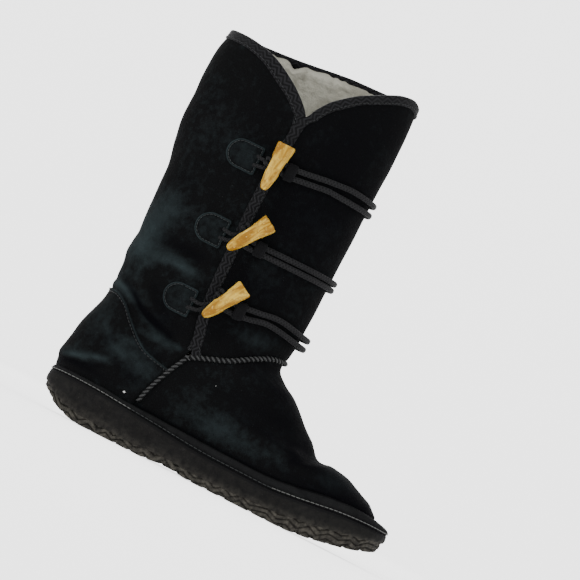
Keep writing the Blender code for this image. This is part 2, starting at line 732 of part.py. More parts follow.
def short_cord(closure):
    """Loop from the tab into the toggle's slot, around and back."""
    middle, axis, out, across = toggle_frame(closure)
    if across[0] < 0:
        across = -across
    gap = short_cord_gap
    radius = short_cord_radius
    start = closure["edge"] + 0.5
    ends = []
    for sign in (1, -1):
        z = closure["z"] + sign * 3.0
        under = middle + axis * (sign * 2.0 - closure["below"])
        entry = middle + axis * sign * gap
        ends.append([side_point(start, z, 1.7 + radius),
                     side_point(start + 2.4, z - sign * 0.4, 3.0 + radius),
                     under - across * 4.4 - out * 7.2, entry - across * 8.0 - out * 3.6,
                     entry - across * 7.6 - out * 0.6, entry - across * 6.0, entry + across * 1.5])
    bend = [middle + across * (1.5 + gap * math.sin(a)) + axis * gap * math.cos(a)
            for a in (math.pi / 4, math.pi / 2, 3 * math.pi / 4)]
    path = ends[0] + bend + list(reversed(ends[1]))
    return tube(even(path, 22), radius, 5)


def strand_places(line, count, slack):
    """Strand from the slit around the front, where it stands off by its slack, to the inner tab."""
    xs = [p[0] for p in line]
    zs = [p[1] for p in line]
    first, level = side_place(*line[0])
    last, _ = side_place(inner_tab_edge + 1.0, zs[-1])
    places = []
    for angle in np.linspace(first, 2 * math.pi - last, count):
        z = zs[-1]
        if angle < math.pi:
            for _ in range(5):
                x = float(leather(angle, row_at_height(z))[0])
                z = float(curve(xs, zs, x))
        t = float(row_at_height(z))
        x = float(leather(angle, t)[0])
        lift = cord_low_lift
        if angle < math.pi:
            lift = cord_lift + (cord_low_lift - cord_lift) * np.clip((x - 116.0) / 12.0, 0.0, 1.0)
        lift += slack * math.exp(-((angle - math.pi) / 0.42) ** 2)
        places.append(upper_point(angle, t, lift))
    return places


def long_cord(lines, slack):
    """Both strands and the bend behind the toggle as one cord."""
    high = strand_places(lines[0], 17, slack)
    low = strand_places(lines[1], 17, slack)
    middle = (high[0] + low[0]) / 2
    half = (high[0] - low[0]) / 2
    behind = high[0] - high[1]
    behind /= np.linalg.norm(behind)
    size = np.linalg.norm(half)
    bend = [middle + half * math.cos(a) + behind * size * math.sin(a)
            for a in (math.pi / 4, math.pi / 2, 3 * math.pi / 4)]
    path = list(reversed(high)) + bend + low
    return tube(path, cord_radius, 5)


def keeper(lines, start, stop):
    """Sleeve around both strands."""
    rings_out = []
    rings_in = []
    for x in (start, stop):
        ends = [curve([p[0] for p in line], [p[1] for p in line], x) for line in lines]
        middle_z = float(ends[0] + ends[1]) / 2
        half = float(ends[0] - ends[1]) / 2
        spot = side_point(x, middle_z, cord_lift)
        out = side_point(x, middle_z, cord_lift + 1.0) - spot
        up = side_point(x, middle_z + 1.0, cord_lift) - spot
        up /= np.linalg.norm(up)
        for rings, grow, thick in ((rings_out, 1.9, 1.3), (rings_in, 1.1, 0.5)):
            reach = half + cord_radius + grow
            deep = cord_radius + thick
            ring = []
            for a in np.linspace(0, 2 * math.pi, 12, endpoint=False) + math.pi / 12:
                c, s = math.cos(a), math.sin(a)
                ring.append(spot + up * reach * math.copysign(abs(c) ** 0.5, c)
                            + out * deep * math.copysign(abs(s) ** 0.6, s))
            rings.append(ring)
    outer = np.array(rings_out)
    inner = np.array(rings_in)
    return shell(outer, inner, [(0, j, (j + 1) % 12) for j in range(12)])


for old in list(bpy.data.objects):
    bpy.data.objects.remove(old, do_unlink=True)

suede = material("suede", (0.022, 0.024, 0.028), 0.95)
foam = material("sole foam", (0.05, 0.05, 0.052), 0.85)
tape = material("woven tape", (0.03, 0.03, 0.03), 0.8)
braid = material("cord", (0.035, 0.035, 0.035), 0.8)
horn = material("toggle", (0.62, 0.46, 0.2), 0.45)
fleece = material("fleece", (0.5, 0.49, 0.43), 1.0)

vamp_line = ((84.2, 77.6), (91.7, 81.3), (101.5, 85.1), (111.4, 88.9), (121.2, 94.6), (129.0, 99.6),
             (136.0, 103.6), (142.0, 105.6), (149.0, 106.6))
side_line = ((81.8, 72.6), (79.0, 67.0), (74.6, 57.1), (71.0, 48.0), (68.6, 40.5), (67.6, 36.0))

add_piece("outsole", *outsole(), foam, smooth=False)
add_piece("insole", *insole(), fleece)
add_piece("upper", *upper(), suede)
add_piece("welt", *welt(), suede)
add_piece("heel_counter", *heel_counter(), suede)
add_piece("binding", *binding(), tape)
add_piece("vamp_seam", *raised_seam(to_front(vamp_line, 13), both=True), suede)
side_spots = [side_place(*place) for place in side_line]
add_piece("side_seam", *raised_seam(side_spots), suede)
add_piece("inner_seam", *raised_seam(side_spots, is_outer=False), suede)
for number, (closure, lines) in enumerate(zip(closures, strands), 1):
    size = {key: closure[key] for key in ("back", "edge", "z", "half")}
    add_piece(f"patch_{number}", *tab(**size), suede)
    add_piece(f"short_cord_{number}", *short_cord(closure), braid)
    add_piece(f"toggle_{number}", *toggle(closure), horn)
    first = lines[0][1][0]
    add_piece(f"keeper_{number}", *keeper(lines, first, first + keeper_length), braid)
    add_piece(f"long_cord_{number}", *long_cord(lines, front_slack[number - 1]), braid)
    middle = (lines[0][-1][1] + lines[1][-1][1]) / 2
    add_piece(f"inner_patch_{number}", *tab(inner_tab_back, inner_tab_edge, middle, 11.0, False), suede)
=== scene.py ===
import math

import bmesh
import bpy
import numpy as np
from mathutils import Matrix, Vector


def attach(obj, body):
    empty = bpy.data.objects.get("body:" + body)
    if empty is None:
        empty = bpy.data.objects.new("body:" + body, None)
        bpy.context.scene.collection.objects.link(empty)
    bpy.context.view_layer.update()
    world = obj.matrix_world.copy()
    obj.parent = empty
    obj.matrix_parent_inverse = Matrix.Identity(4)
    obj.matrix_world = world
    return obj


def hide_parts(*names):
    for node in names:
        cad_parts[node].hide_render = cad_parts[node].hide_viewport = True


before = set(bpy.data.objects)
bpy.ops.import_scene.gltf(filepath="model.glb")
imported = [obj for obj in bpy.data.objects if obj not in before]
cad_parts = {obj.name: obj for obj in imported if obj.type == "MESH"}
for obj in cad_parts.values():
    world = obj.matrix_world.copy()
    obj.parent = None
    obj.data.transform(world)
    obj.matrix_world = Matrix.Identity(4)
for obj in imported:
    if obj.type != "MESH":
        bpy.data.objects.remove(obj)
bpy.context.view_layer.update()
print("frame loaded:", len(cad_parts), "nodes")

# Lengths are in millimetres in the boot's own side view: x from the back of the heel to the toe,
# y to the inner side, z up from the floor. piece() turns them into the frame's metres.
mm = 0.001
heelPadX = 56.0  # where the frame has its zero
pi = math.pi

# Rows of the last from the upper's lower rim to the ankle, as in the solids
rowNames = ("backX", "backZ", "frontX", "frontZ", "outer", "inner", "outerAt", "innerAt",
            "outerWaist", "innerWaist", "backN", "frontN", "follow", "seamX")
footForm = [
    (4.2, 28.7, 257.0, 29.2, 45.0, 43.0, 0.64, 0.70, 6.0, 10.0, 2.65, 2.3, 1.00, 66.5),
    (2.2, 36.5, 257.6, 36.0, 47.0, 45.0, 0.63, 0.69, 5.5, 9.5, 2.65, 2.4, 0.90, 67.6),
    (2.2, 45.0, 243.0, 44.3, 47.5, 45.0, 0.61, 0.66, 4.0, 7.5, 2.65, 2.5, 0.70, 70.0),
    (4.0, 57.0, 222.5, 51.2, 46.5, 44.0, 0.58, 0.61, 2.0, 4.5, 2.6, 2.6, 0.45, 74.5),
    (6.1, 68.7, 200.0, 55.5, 44.0, 42.5, 0.55, 0.56, 0.5, 1.5, 2.5, 2.6, 0.25, 80.0),
    (9.0, 79.0, 183.5, 72.3, 42.0, 41.0, 0.52, 0.53, 0.0, 0.5, 2.4, 2.5, 0.10, 84.3),
    (11.8, 88.0, 167.0, 86.5, 40.5, 39.5, 0.51, 0.51, 0.0, 0.0, 2.3, 2.4, 0.00, 86.0),
    (13.2, 94.5, 156.0, 93.5, 39.5, 39.0, 0.50, 0.50, 0.0, 0.0, 2.3, 2.3, 0.00, 85.5),
]
# The shaft's rows are level ovals: back, height, front, half width outside and inside, seam
shaftForm = [
    (13.9, 102, 148.6, 38.8, 38.5, 83.6), (13.6, 112, 150.2, 38.8, 38.6, 81.4),
    (13, 124, 151.3, 39.2, 39.2, 80.2), (11.9, 142, 151.6, 40, 40, 79.2),
    (10.5, 162, 151.9, 40.6, 40.6, 78.6), (7, 200, 152.2, 41.5, 41.5, 77.8),
    (3.9, 218, 152.4, 41.9, 41.9, 78), (1.2, 238, 152.8, 42.2, 42.2, 78.6),
    (0.3, 262, 153.2, 42.5, 42.5, 81.6), (1.5, 287, 153, 42.3, 42.3, 83.6),
    (5.2, 302, 152.3, 41.8, 41.8, 84), (8.5, 320, 150.6, 41, 41, 84),
]
lastRows = np.array(footForm + [
    (back, high, front, high, outer, inner, 0.5, 0.5, 0, 0, 2.2, 2.2, 0, seam)
    for back, high, front, outer, inner, seam in shaftForm])
topRow = len(lastRows) - 1.0
soleRow = dict(outer=51.5, inner=49, outerAt=0.63, innerAt=0.70, outerWaist=4.5, innerWaist=8,
               backN=2.75, frontN=2.3)
# x, sole's upper edge, welt's top, sole's underside
soleLines = [
    (0, 27.5, 31.4, 13), (10, 28.3, 31.9, 7.5), (22, 28.4, 32.2, 2.6), (36, 28, 32, 0),
    (60, 26.4, 30.6, 0), (84, 24.6, 30, 0), (106, 22.5, 29.6, 1.6), (128, 21, 29.1, 0),
    (150, 20.7, 28.7, 0), (172, 20.6, 28.5, 0), (196, 22.6, 30.6, 0), (214, 25, 33.4, 1.4),
    (232, 27.4, 35.8, 4.2), (250, 28.7, 36.8, 8), (262, 29, 36, 11.5), (271.5, 28.9, 34.5, 15),
]
# x, collar on the outer side, collar on the inner side
collarLines = [
    (5, 304, 304.4), (19, 302.8, 305.8), (39, 298.4, 307.8), (59, 288.4, 310),
    (70, 280.6, 311.5), (77, 274.2, 312.5), (83.4, 267.5, 313.4), (86, 274.6, 313.8),
    (90, 281.2, 314.2), (94.5, 287, 314.8), (99.5, 291.6, 315.2), (109, 299.2, 315.6),
    (119, 305.2, 315.8), (129, 310.8, 316), (139, 315.4, 316.2), (146, 316.8, 316.2),
    (152, 313.8, 313.8),
]
last = dict(soleLength=271.5, toeShift=7, swingFrom=140, swingLong=130, waistAt=0.42, waistLong=0.15,
            slitHalfGap=1.7, slitRow=5.2, shaftRow=8)


def curveThrough(xs, ys, x):
    # a smooth curve through points that doesn't overshoot them
    xs, ys = np.asarray(xs, float), np.asarray(ys, float)
    step = np.diff(xs)
    rise = np.diff(ys) / step
    slope = np.concatenate((rise[:1], np.zeros(len(xs) - 2), rise[-1:]))
    for i in range(1, len(xs) - 1):
        if rise[i - 1] * rise[i] > 0:
            a, b = 2 * step[i] + step[i - 1], step[i] + 2 * step[i - 1]
            slope[i] = (a + b) / (a / rise[i - 1] + b / rise[i])
    x = np.clip(np.asarray(x, float), xs[0], xs[-1])
    i = np.clip(np.searchsorted(xs, x, side="right") - 1, 0, len(xs) - 2)
    h = xs[i + 1] - xs[i]
    u = (x - xs[i]) / h
    return ((2 * u**3 - 3 * u**2 + 1) * ys[i] + (u**3 - 2 * u**2 + u) * h * slope[i]
            + (3 * u**2 - 2 * u**3) * ys[i + 1] + (u**3 - u**2) * h * slope[i + 1])


def readCurve(places, x, column=1):
    places = np.asarray(places, float)
    return curveThrough(places[:, 0], places[:, column], x)


def softStep(x, low, high):
    u = np.clip((np.asarray(x, float) - low) / (high - low), 0, 1)
    return u * u * (3 - 2 * u)


def hill(x, width):
    # 1 at zero, and almost nothing beyond twice the width
    return np.exp(-(x / width) ** 2)


def stack(*columns):
    return np.stack(np.broadcast_arrays(*columns), axis=-1)


def unit(vectors):
    return vectors / np.linalg.norm(vectors, axis=-1, keepdims=True)


def rowValue(name, t):
    return curveThrough(np.arange(len(lastRows)), lastRows[:, rowNames.index(name)], t)


def soleTop(x):
    return readCurve(soleLines, x)


def weltTop(x):
    return readCurve(soleLines, x, 2)


def halfWidth(s, isOuter, values):
    width, at, waist = (np.where(isOuter, values["outer" + end], values["inner" + end])
                        for end in ("", "At", "Waist"))
    power = np.where(s < at, values["backN"], values["frontN"])
    reach = np.clip(np.where(s < at, (at - s) / at, (s - at) / (1 - at)), 0, 1)
    full = width * np.clip(1 - reach**power, 0, 1) ** (1 / power)
    return full - waist * hill(s - last["waistAt"], last["waistLong"])


def toeSwing(x):
    return last["toeShift"] * (np.clip(x - last["swingFrom"], 0, None) / last["swingLong"]) ** 2


# A place around the boot is an angle (0 at the back, 90 degrees at the outer seam, 180 at the toe)
# or a share s of the way from back to front; a place up the boot is a row t of the last.
def seamShare(t):
    back = rowValue("backX", t)
    return (rowValue("seamX", t) - back) / (rowValue("frontX", t) - back)


def shareFromAngle(angle, t):
    plain = (1 - np.cos(angle)) / 2
    seam = seamShare(t)
    return np.where(plain < 0.5, plain * seam / 0.5, 1 - (1 - plain) * (1 - seam) / 0.5)


def angleFromShare(s, t):
    seam = seamShare(t)
    plain = np.where(s < seam, s * 0.5 / seam, 1 - (1 - s) * 0.5 / (1 - seam))
    return np.arccos(np.clip(1 - 2 * plain, -1, 1))


def rowHeight(s, t):
    backX, frontX = rowValue("backX", t), rowValue("frontX", t)
    level = rowValue("backZ", t) * (1 - s) + rowValue("frontZ", t) * s
    dip = soleTop(backX + s * (frontX - backX)) - soleTop(backX) * (1 - s) - soleTop(frontX) * s
    return level + rowValue("follow", t) * dip


def bareLeather(angle, t):
    s = shareFromAngle(angle, t)
    backX = rowValue("backX", t)
    x = backX + s * (rowValue("frontX", t) - backX)
    isOuter = np.mod(angle, 2 * pi) < pi
    values = {name: rowValue(name, t) for name in rowNames[4:12]}
    side = np.where(isOuter, -1, 1) * halfWidth(s, isOuter, values)
    return stack(x, side + toeSwing(x), rowHeight(s, t))


def outwardNormal(angle, t):
    around = bareLeather(angle + 0.02, t) - bareLeather(angle - 0.02, t)
    low, high = (bareLeather(angle, np.clip(t + step, 0, topRow)) for step in (-0.03, 0.03))
    return unit(np.cross(around, high - low))


# Smooth noise on a lattice, from -1 to 1, the same in each run
latticeSize = 32
lattice = np.random.default_rng(7).uniform(-1, 1, (latticeSize,) * 3)


def cloud(points, size, shift=0):
    p = np.asarray(points, float) / size + shift
    cell = np.floor(p).astype(int)
    u = p - cell
    u = u * u * (3 - 2 * u)
    total = 0
    for corner in range(8):
        step = np.array((corner & 1, corner >> 1 & 1, corner >> 2 & 1))
        index = np.mod(cell + step, latticeSize)
        total = total + np.prod(np.where(step, u, 1 - u), axis=-1) * lattice[tuple(np.moveaxis(index, -1, 0))]
    return total


# Folds and dents: points (x, z) in the side view, height in mm (minus is a trough),
# half width, and how much of it shows on the inner side
folds = [
    (((22, 106.5), (27, 103.6), (33, 99), (46, 90.6), (61, 85), (76, 82.4)), -2.5, 3.6, 0.8),
    (((10, 106.5), (16, 106.2), (20, 106.4)), -0.8, 2.6, 0.8),
    (((11, 112), (12, 126), (12, 146)), 2, 11, 0.8),
    (((13, 102.6), (25, 101.4), (36, 94), (50, 85), (64, 79), (78, 76)), 1.3, 4, 0.7),
    (((24, 116), (34, 108), (46, 98), (58, 92), (72, 89)), 1.2, 4.4, 0.6),
    (((30, 126), (42, 116), (50, 107), (60, 100)), -0.9, 5, 0.6),
    (((12, 128), (26, 133), (44, 136.5), (58, 134), (68, 129)), 1.7, 6.5, 0.5),
    (((22, 146), (38, 147), (54, 146), (68, 140)), -1.6, 7, 0.6),
    (((10, 158), (26, 168), (44, 172)), 0.9, 12, 0.4),
    (((8, 196), (26, 190), (40, 196)), -0.9, 9, 0.8),
    (((2, 226), (20, 222), (34, 230)), 0.8, 13, 0.4),
    (((1, 252), (24, 256), (52, 250)), -0.7, 10, 0.7),
    (((3, 42), (18, 46.5), (34, 52.5)), 1.3, 4.2, 0.4),
    (((5, 36), (20, 39), (36, 43.5)), -1.3, 3.6, 0.5),
    (((22, 72), (30, 64), (40, 56)), -0.7, 4.5, 0.2),
    (((207, 56), (201, 54.4), (193, 51.4), (184, 46)), -2, 3.6, 0.7),
    (((199, 59), (194, 62), (186, 58)), 2.3, 6, 0.9),
    (((212, 54), (228, 49), (246, 43), (256, 37)), 2.3, 9, 1),
    (((190, 66), (184, 60), (176, 52)), 0.9, 5.5, 0.8),
    (((226, 50), (214, 47), (203, 41)), 0.8, 6, 0.8),
    (((176, 72), (164, 66), (150, 63), (132, 64)), -1.2, 8, 0.6),
    (((150, 60), (138, 52), (122, 45)), 0.9, 9, 0.3),
    (((120, 86), (138, 82), (154, 84)), 0.8, 8, 0.8),
    (((96, 100), (112, 108), (128, 114), (146, 116)), 0.7, 7, 0.8),
    (((90, 150), (112, 152), (140, 149)), 0.7, 11, 0.8),
    (((90, 200), (118, 206), (148, 203)), 0.6, 14, 0.8),
    (((24, 84), (34, 76), (40, 66)), -0.5, 2.4, 0.2),
    (((26, 132), (36, 127), (42, 119)), -0.6, 2.6, 0.3),
    (((100, 124), (118, 118), (134, 117)), -0.5, 3, 0.4),
    (((188, 40), (198, 44), (206, 48)), -0.6, 2.6, 0.5),
    (((160, 44), (174, 50), (184, 58)), -0.5, 3.2, 0.5),
    (((104, 60), (118, 66), (134, 68)), -0.4, 3.4, 0.5),
]


def nearLine(x, z, line):
    # how far a point is from a line, how far along it, and the line's length
    best = np.full(np.shape(x), 1e9)
    along = np.zeros(np.shape(x))
    walked = 0
    for (ax, az), (bx, bz) in zip(line, line[1:]):
        dx, dz = bx - ax, bz - az
        length = math.hypot(dx, dz)
        share = np.clip(((x - ax) * dx + (z - az) * dz) / length**2, 0, 1)
        far = np.hypot(x - ax - share * dx, z - az - share * dz)
        along = np.where(far < best, walked + share * length, along)
        best = np.minimum(best, far)
        walked += length
    return best, along, walked


def innerShare(points):
    return softStep(points[..., 1] - toeSwing(points[..., 0]), -14, 14)


def relief(points):
    x, z = points[..., 0], points[..., 2]
    inner = innerShare(points)
    total = 0
    for line, height, width, innerPart in folds:
        far, along, length = nearLine(x, z, line)
        ends = softStep(length - along, 0, 10)
        if 20 < line[0][0] < 190:  # the others run on round the back or the toe
            ends = ends * softStep(along, 0, 10)
        total = total + height * hill(far, width) * (0.15 + 0.85 * ends) * (1 - inner + innerPart * inner)
    total = total + 0.5 * cloud(points, 21, 3.1) + 0.22 * cloud(points, 9, 5.7)
    # flat at the lower rim, and calmer near the collar
    return total * softStep(z, 29, 40) * (0.35 + 0.65 * softStep(300 - z, 0, 40))


def skin(angle, t, offset):
    angle, t, offset = np.broadcast_arrays(angle, t, offset)
    bare = bareLeather(angle, t)
    return bare + outwardNormal(angle, t) * (offset + relief(bare))[..., None]


def rowAtHeight(z):
    t = np.linspace(last["shaftRow"], topRow, 400)
    return np.interp(z, rowValue("backZ", t), t)


def findRow(shape, isBelow):
    low, high = np.zeros(shape), np.full(shape, topRow)
    for _ in range(36):
        t = (low + high) / 2
        below = isBelow(t)
        low, high = np.where(below, t, low), np.where(below, high, t)
    return t


def rowAt(angle, z):
    angle, z = np.broadcast_arrays(angle, z)
    return findRow(z.shape, lambda t: bareLeather(angle, t)[..., 2] < z)


def sidePlace(x, z):
    # the angle on the outer side and the row of a point in the side view
    x, z = np.broadcast_arrays(x, z)

    def shareAt(t):
        backX = rowValue("backX", t)
        return np.clip((x - backX) / (rowValue("frontX", t) - backX), 0, 1)

    t = findRow(x.shape, lambda t: rowHeight(shareAt(t), t) < z)
    return angleFromShare(shareAt(t), t), t


def onSide(x, z, offset, isOuter=True):
    angle, t = sidePlace(x, z)
    return skin(angle if isOuter else 2 * pi - angle, t, offset)


def outline(angle, inset=0):
    s = shareFromAngle(angle, 0)
    x = inset + s * (last["soleLength"] - 2 * inset)
    isOuter = np.mod(angle, 2 * pi) < pi
    width = halfWidth(s, isOuter, soleRow) - inset * np.minimum(1, 40 * s * (1 - s))
    return x, np.where(isOuter, -1, 1) * np.clip(width, 0, None) + toeSwing(x)


def fullTurn(count):
    return np.linspace(0, 2 * pi, count, endpoint=False)


def gridFaces(rows, columns, closed=False):
    i, j = np.meshgrid(np.arange(rows - 1), np.arange(columns if closed else columns - 1), indexing="ij")
    here, there = i * columns + j, i * columns + (j + 1) % columns
    return np.stack((here, there, there + columns, here + columns), axis=-1).reshape(-1, 4)


def ringFaces(count, around, ends=(0, 1), lean=1):
    # rings of points one after the other, with a row of faces across the first (0) and the last (1)
    starts = [end * (count - 1) * around for end in ends]
    caps = [(a + i, a + i + 1, a + around - lean - 1 - i, a + around - lean - i)
            for a in starts for i in range(1 - lean, around // 2 - 1)]
    return np.concatenate((gridFaces(count, around, closed=True), caps))


def shown(name, data):
    made = bpy.data.objects.new(name, data)
    bpy.context.scene.collection.objects.link(made)
    return made


def piece(name, points, faces, look, slot, nodes=(), values=None):
    mesh = bpy.data.meshes.new(name)
    points = (np.reshape(points, (-1, 3)) - (heelPadX, 0, 0)) * mm
    mesh.from_pydata(points.tolist(), [], np.asarray(faces).tolist())
    for key, numbers in (values or {}).items():
        numbers = np.asarray(numbers, np.float32)
        kind, field = ("FLOAT_VECTOR", "vector") if numbers.ndim > 1 else ("FLOAT", "value")
        mesh.attributes.new(key, kind, "POINT").data.foreach_set(field, numbers.ravel())
    work = bmesh.new()
    work.from_mesh(mesh)
    bmesh.ops.recalc_face_normals(work, faces=work.faces)
    for face in work.faces:
        face.smooth = True
    work.to_mesh(mesh)
    work.free()
    mesh.materials.append(look)
    made = shown(name, mesh)
    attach(made, "root")
    if nodes:
        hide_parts(*nodes)


def joined(parts):
    points, faces, total = [], [], 0
    for somePoints, someFaces in parts:
        points.append(somePoints)
        faces.append(someFaces + total)
        total += len(somePoints)
    return np.concatenate(points), np.concatenate(faces)


def reachOf(path):
    # the distance walked to each point of a path
    return np.concatenate(([0], np.cumsum(np.linalg.norm(np.diff(path, axis=0), axis=1))))


def between(at, reach, path):
    return np.stack([np.interp(at, reach, column) for column in path.T], -1)


def evenPath(path, step):
    path = np.asarray(path, float)
    reach = reachOf(path)
    places = np.linspace(0, reach[-1], max(2, int(reach[-1] / step) + 1))
    return np.stack([curveThrough(reach, column, places) for column in path.T], -1)


def smoothAlong(values, reach, width):
    weights = hill(reach[:, None] - reach[None, :], width)
    return weights @ values / weights.sum(axis=1, keepdims=True)


def crossFrame(path, outs):
    along = unit(np.gradient(path, axis=0))
    across = unit(np.cross(along, outs))
    return along, across, np.cross(across, along)


def tube(path, outs, wide, deep, sides):
    across, out = crossFrame(path, outs)[1:]
    turns = fullTurn(sides)[:, None]
    wide, deep = (np.broadcast_to(size, len(path))[:, None, None] for size in (wide, deep))
    points = path[:, None] + across[:, None] * np.cos(turns) * wide + out[:, None] * np.sin(turns) * deep
    return points.reshape(-1, 3), ringFaces(len(path), sides)


def tubeWeave(path, sides):
    reach, turns = np.meshgrid(reachOf(path), fullTurn(sides), indexing="ij")
    return stack(np.cos(turns), np.sin(turns), reach).reshape(-1, 3)


def stitch(path, outs, thick, high, sunk):
    hump = np.sin(np.linspace(0, pi, 6)) ** 0.5 * high - sunk
    size = thick * np.array([0.7, 1, 1.05, 1.05, 1, 0.7])
    return tube(path + outs * hump[:, None], outs, size, size, 6)


def stitchRow(line, outs, shape):
    reach = reachOf(line)
    long, thick = shape["stitchLong"], shape["stitchThick"]
    parts = []
    for k in range(int((reach[-1] - long) / shape["stitchPitch"]) + 1):
        at = k * shape["stitchPitch"] + np.linspace(0, long, 6)
        parts.append(stitch(between(at, reach, line), between(at, reach, outs), thick, thick * 0.9, 0.12))
    return joined(parts)


class Value:
    # a socket that can be written into sums
    def __init__(self, look, socket):
        self.look = look
        self.socket = socket

    def __add__(self, other):
        return self.look.maths("ADD", self, other)

    def __sub__(self, other):
        return self.look.maths("SUBTRACT", self, other)

    def __rsub__(self, other):
        return self.look.maths("SUBTRACT", other, self)

    def __mul__(self, other):
        return self.look.maths("MULTIPLY", self, other)

    __radd__ = __add__
    __rmul__ = __mul__


class Look:
    def __init__(self, name, **shader):
        self.material = bpy.data.materials.new(name)
        self.material.use_nodes = True
        self.nodes = self.material.node_tree.nodes
        self.links = self.material.node_tree.links
        self.shader = self.nodes["Principled BSDF"]
        for key, value in shader.items():
            self.shader.inputs[key.replace("_", " ")].default_value = value
        self.where = self.node("TexCoord", {}, {}, "Object")

    def node(self, kind, settings, inputs, output=0):
        made = self.nodes.new("ShaderNode" + kind)
        for key, value in settings.items():
            setattr(made, key, value)
        for key, value in inputs.items():
            if isinstance(value, Value):
                self.links.new(value.socket, made.inputs[key])
            else:
                made.inputs[key].default_value = value
        return Value(self, made.outputs[output])

    def maths(self, operation, *values, clamped=False):
        return self.node("Math", {"operation": operation, "use_clamp": clamped}, dict(enumerate(values)))

    def clamped(self, value):
        return self.maths("ADD", value, 0, clamped=True)

    def mask(self, value, low, gain):
        # 0 up to the low value, then rising to 1
        return self.clamped((value - low) * gain)

    def wave(self, value):
        # a sine between 0 and 1
        return self.maths("SINE", value) * 0.5 + 0.5

    def blend(self, share, first, second):
        tones = [(*tone, 1) if isinstance(tone, tuple) else tone for tone in (first, second)]
        return self.node("Mix", {"data_type": "RGBA"}, {0: share, 6: tones[0], 7: tones[1]}, 2)

    def noise(self, size, detail=3, rough=0.6, where=None, stretch=None, bend=0):
        # size in mm
        where = where or self.where
        if stretch:
            where = self.node("Mapping", {}, {"Vector": where, "Scale": stretch})
        return self.node("TexNoise", {}, {"Vector": where, "Scale": 1000 / size, "Detail": detail,
                                          "Roughness": rough, "Distortion": bend})

    def value(self, name, output="Fac"):
        return self.node("Attribute", {"attribute_name": name}, {}, output)

    def parts(self, name):
        split = self.node("SeparateXYZ", {}, {"Vector": self.value(name, "Vector")}).socket.node
        return [Value(self, port) for port in split.outputs]

    def bump(self, height, depth, under=None):
        # depth in mm
        inputs = {"Height": height, "Distance": depth * mm}
        if under:
            inputs["Normal"] = under
        return self.node("Bump", {}, inputs)

    def feed(self, **values):
        for key, value in values.items():
            self.links.new(value.socket, self.shader.inputs[key.replace("_", " ")])
        return self.material


def grey(r, g, b):
    # from the 0-255 values read off a screen to a shader colour
    shares = [v / 255 for v in (r, g, b)]
    return tuple(v / 12.92 if v <= 0.04045 else ((v + 0.055) / 1.055) ** 2.4 for v in shares)


# deep is the colour of the painted shade in both sets of tones
suedeTones = dict(dark=grey(7, 7, 7.5), faded=grey(29, 35.5, 37), warm=grey(14, 13, 13),
                  dust=grey(62, 64, 64), deep=grey(3.5, 3.5, 5))
stripTones = dict(dark=grey(9, 9, 9.5), faded=grey(24, 24.5, 25), warm=grey(15, 14, 14),
                  dust=grey(56, 56, 55), deep=grey(3.5, 3.5, 4.5))


def suedeLook(name, tones, darker=0):
    look = Look(name, Roughness=0.95, Sheen_Weight=0.006, Sheen_Roughness=0.4, Specular_IOR_Level=0.02)
    fadeAndHighlight = look.value("fadeAndHighlight")
    shade = look.value("shade")
    patches = look.noise(26, 4, bend=0.4)
    mottle = look.noise(5, 5, 0.65)
    nap = look.noise(0.75, 4, 0.7)
    pile = look.noise(1.1, stretch=(1, 1, 0.35))
    # faded and worn nap, mixed with painted highlights on crests, rims and edges
    worn = look.clamped(fadeAndHighlight * 1.05 + (patches - 0.5) * 0.6 + (mottle - 0.5) * 0.95 - 0.06 - darker)
    tone = look.blend(worn, tones["dark"], tones["faded"])
    tone = look.blend(look.mask(patches, 0.52, 2.4) * 0.35, tone, tones["warm"])
    tone = look.blend(look.mask(nap, 0.5, 1.6) * 0.3, tone, tones["faded"])
    # painted shade: the shade attribute darkens the colour towards the deep tone
    tone = look.blend(look.clamped(shade + (mottle - 0.5) * 0.2), tone, tones["deep"])
    specks = look.mask(look.noise(1.6, 2, 0.5, bend=0.3), 0.735, 9)
    tone = look.blend(specks * 0.16, tone, tones["dust"])
    fine = look.bump(nap * 0.7 + pile * 0.5, 0.32, look.bump(mottle, 0.7))
    return look.feed(Base_Color=tone, Normal=fine)


def foamLook():
    look = Look("soleFoam", Roughness=0.8, Specular_IOR_Level=0.04)
    dirt = look.value("dirt")
    cloudy = look.noise(14, 5)
    pores = look.node("TexVoronoi", {}, {"Vector": look.where, "Scale": 1000 / 0.9})
    scuffs = look.noise(2.2, 4, 0.7, stretch=(0.35, 0.35, 1.6))
    base = look.blend(look.mask(cloudy, 0.4, 1.6), grey(10, 10, 10.5), grey(16, 16, 16.5))
    base = look.blend(look.mask(scuffs, 0.58, 3) * 0.35, base, grey(36, 36, 35))
    mud = look.blend(look.mask(look.noise(4, 5, 0.65), 0.35, 2.2), grey(25, 24, 22.5), grey(64, 61.5, 56))
    tone = look.blend(look.clamped(dirt + (cloudy - 0.5) * 0.35 * dirt * (1 - dirt) * 4), base, mud)
    tone = look.blend(look.value("groove"), tone, grey(8, 7.5, 7))
    rough = look.bump(pores * 0.4 + scuffs * 0.5, 0.22, look.bump(look.noise(3, 4), 0.25))
    return look.feed(Base_Color=tone, Normal=rough)


def tapeLook():
    look = Look("wovenTape", Roughness=0.72, Sheen_Weight=0.01, Sheen_Roughness=0.4, Specular_IOR_Level=0.06)
    along, across = look.parts("weave")[:2]
    ribs = look.wave(along * (2 * pi / 0.8))
    picks = look.wave(across * (2 * pi / 0.55) + look.maths("SINE", along * (pi / 0.8)) * 1.5)
    zigzag = across + look.maths("PINGPONG", along, 4) * 0.75
    figure = look.clamped(look.maths("SINE", zigzag * (2 * pi / 3)) * 3 + 0.2)
    tone = look.blend(figure * 0.7, grey(5, 5, 6), grey(31, 31, 33))
    tone = look.blend(look.mask(look.noise(9, 4), 0.45, 2) * 0.3, tone, grey(25, 25, 25))
    tone = look.blend(picks * 0.35, tone, grey(6, 6, 7))
    weave = look.bump(ribs * 0.7 + picks * 0.5, 0.22, look.bump(look.noise(3), 0.2))
    return look.feed(Base_Color=tone, Normal=weave)


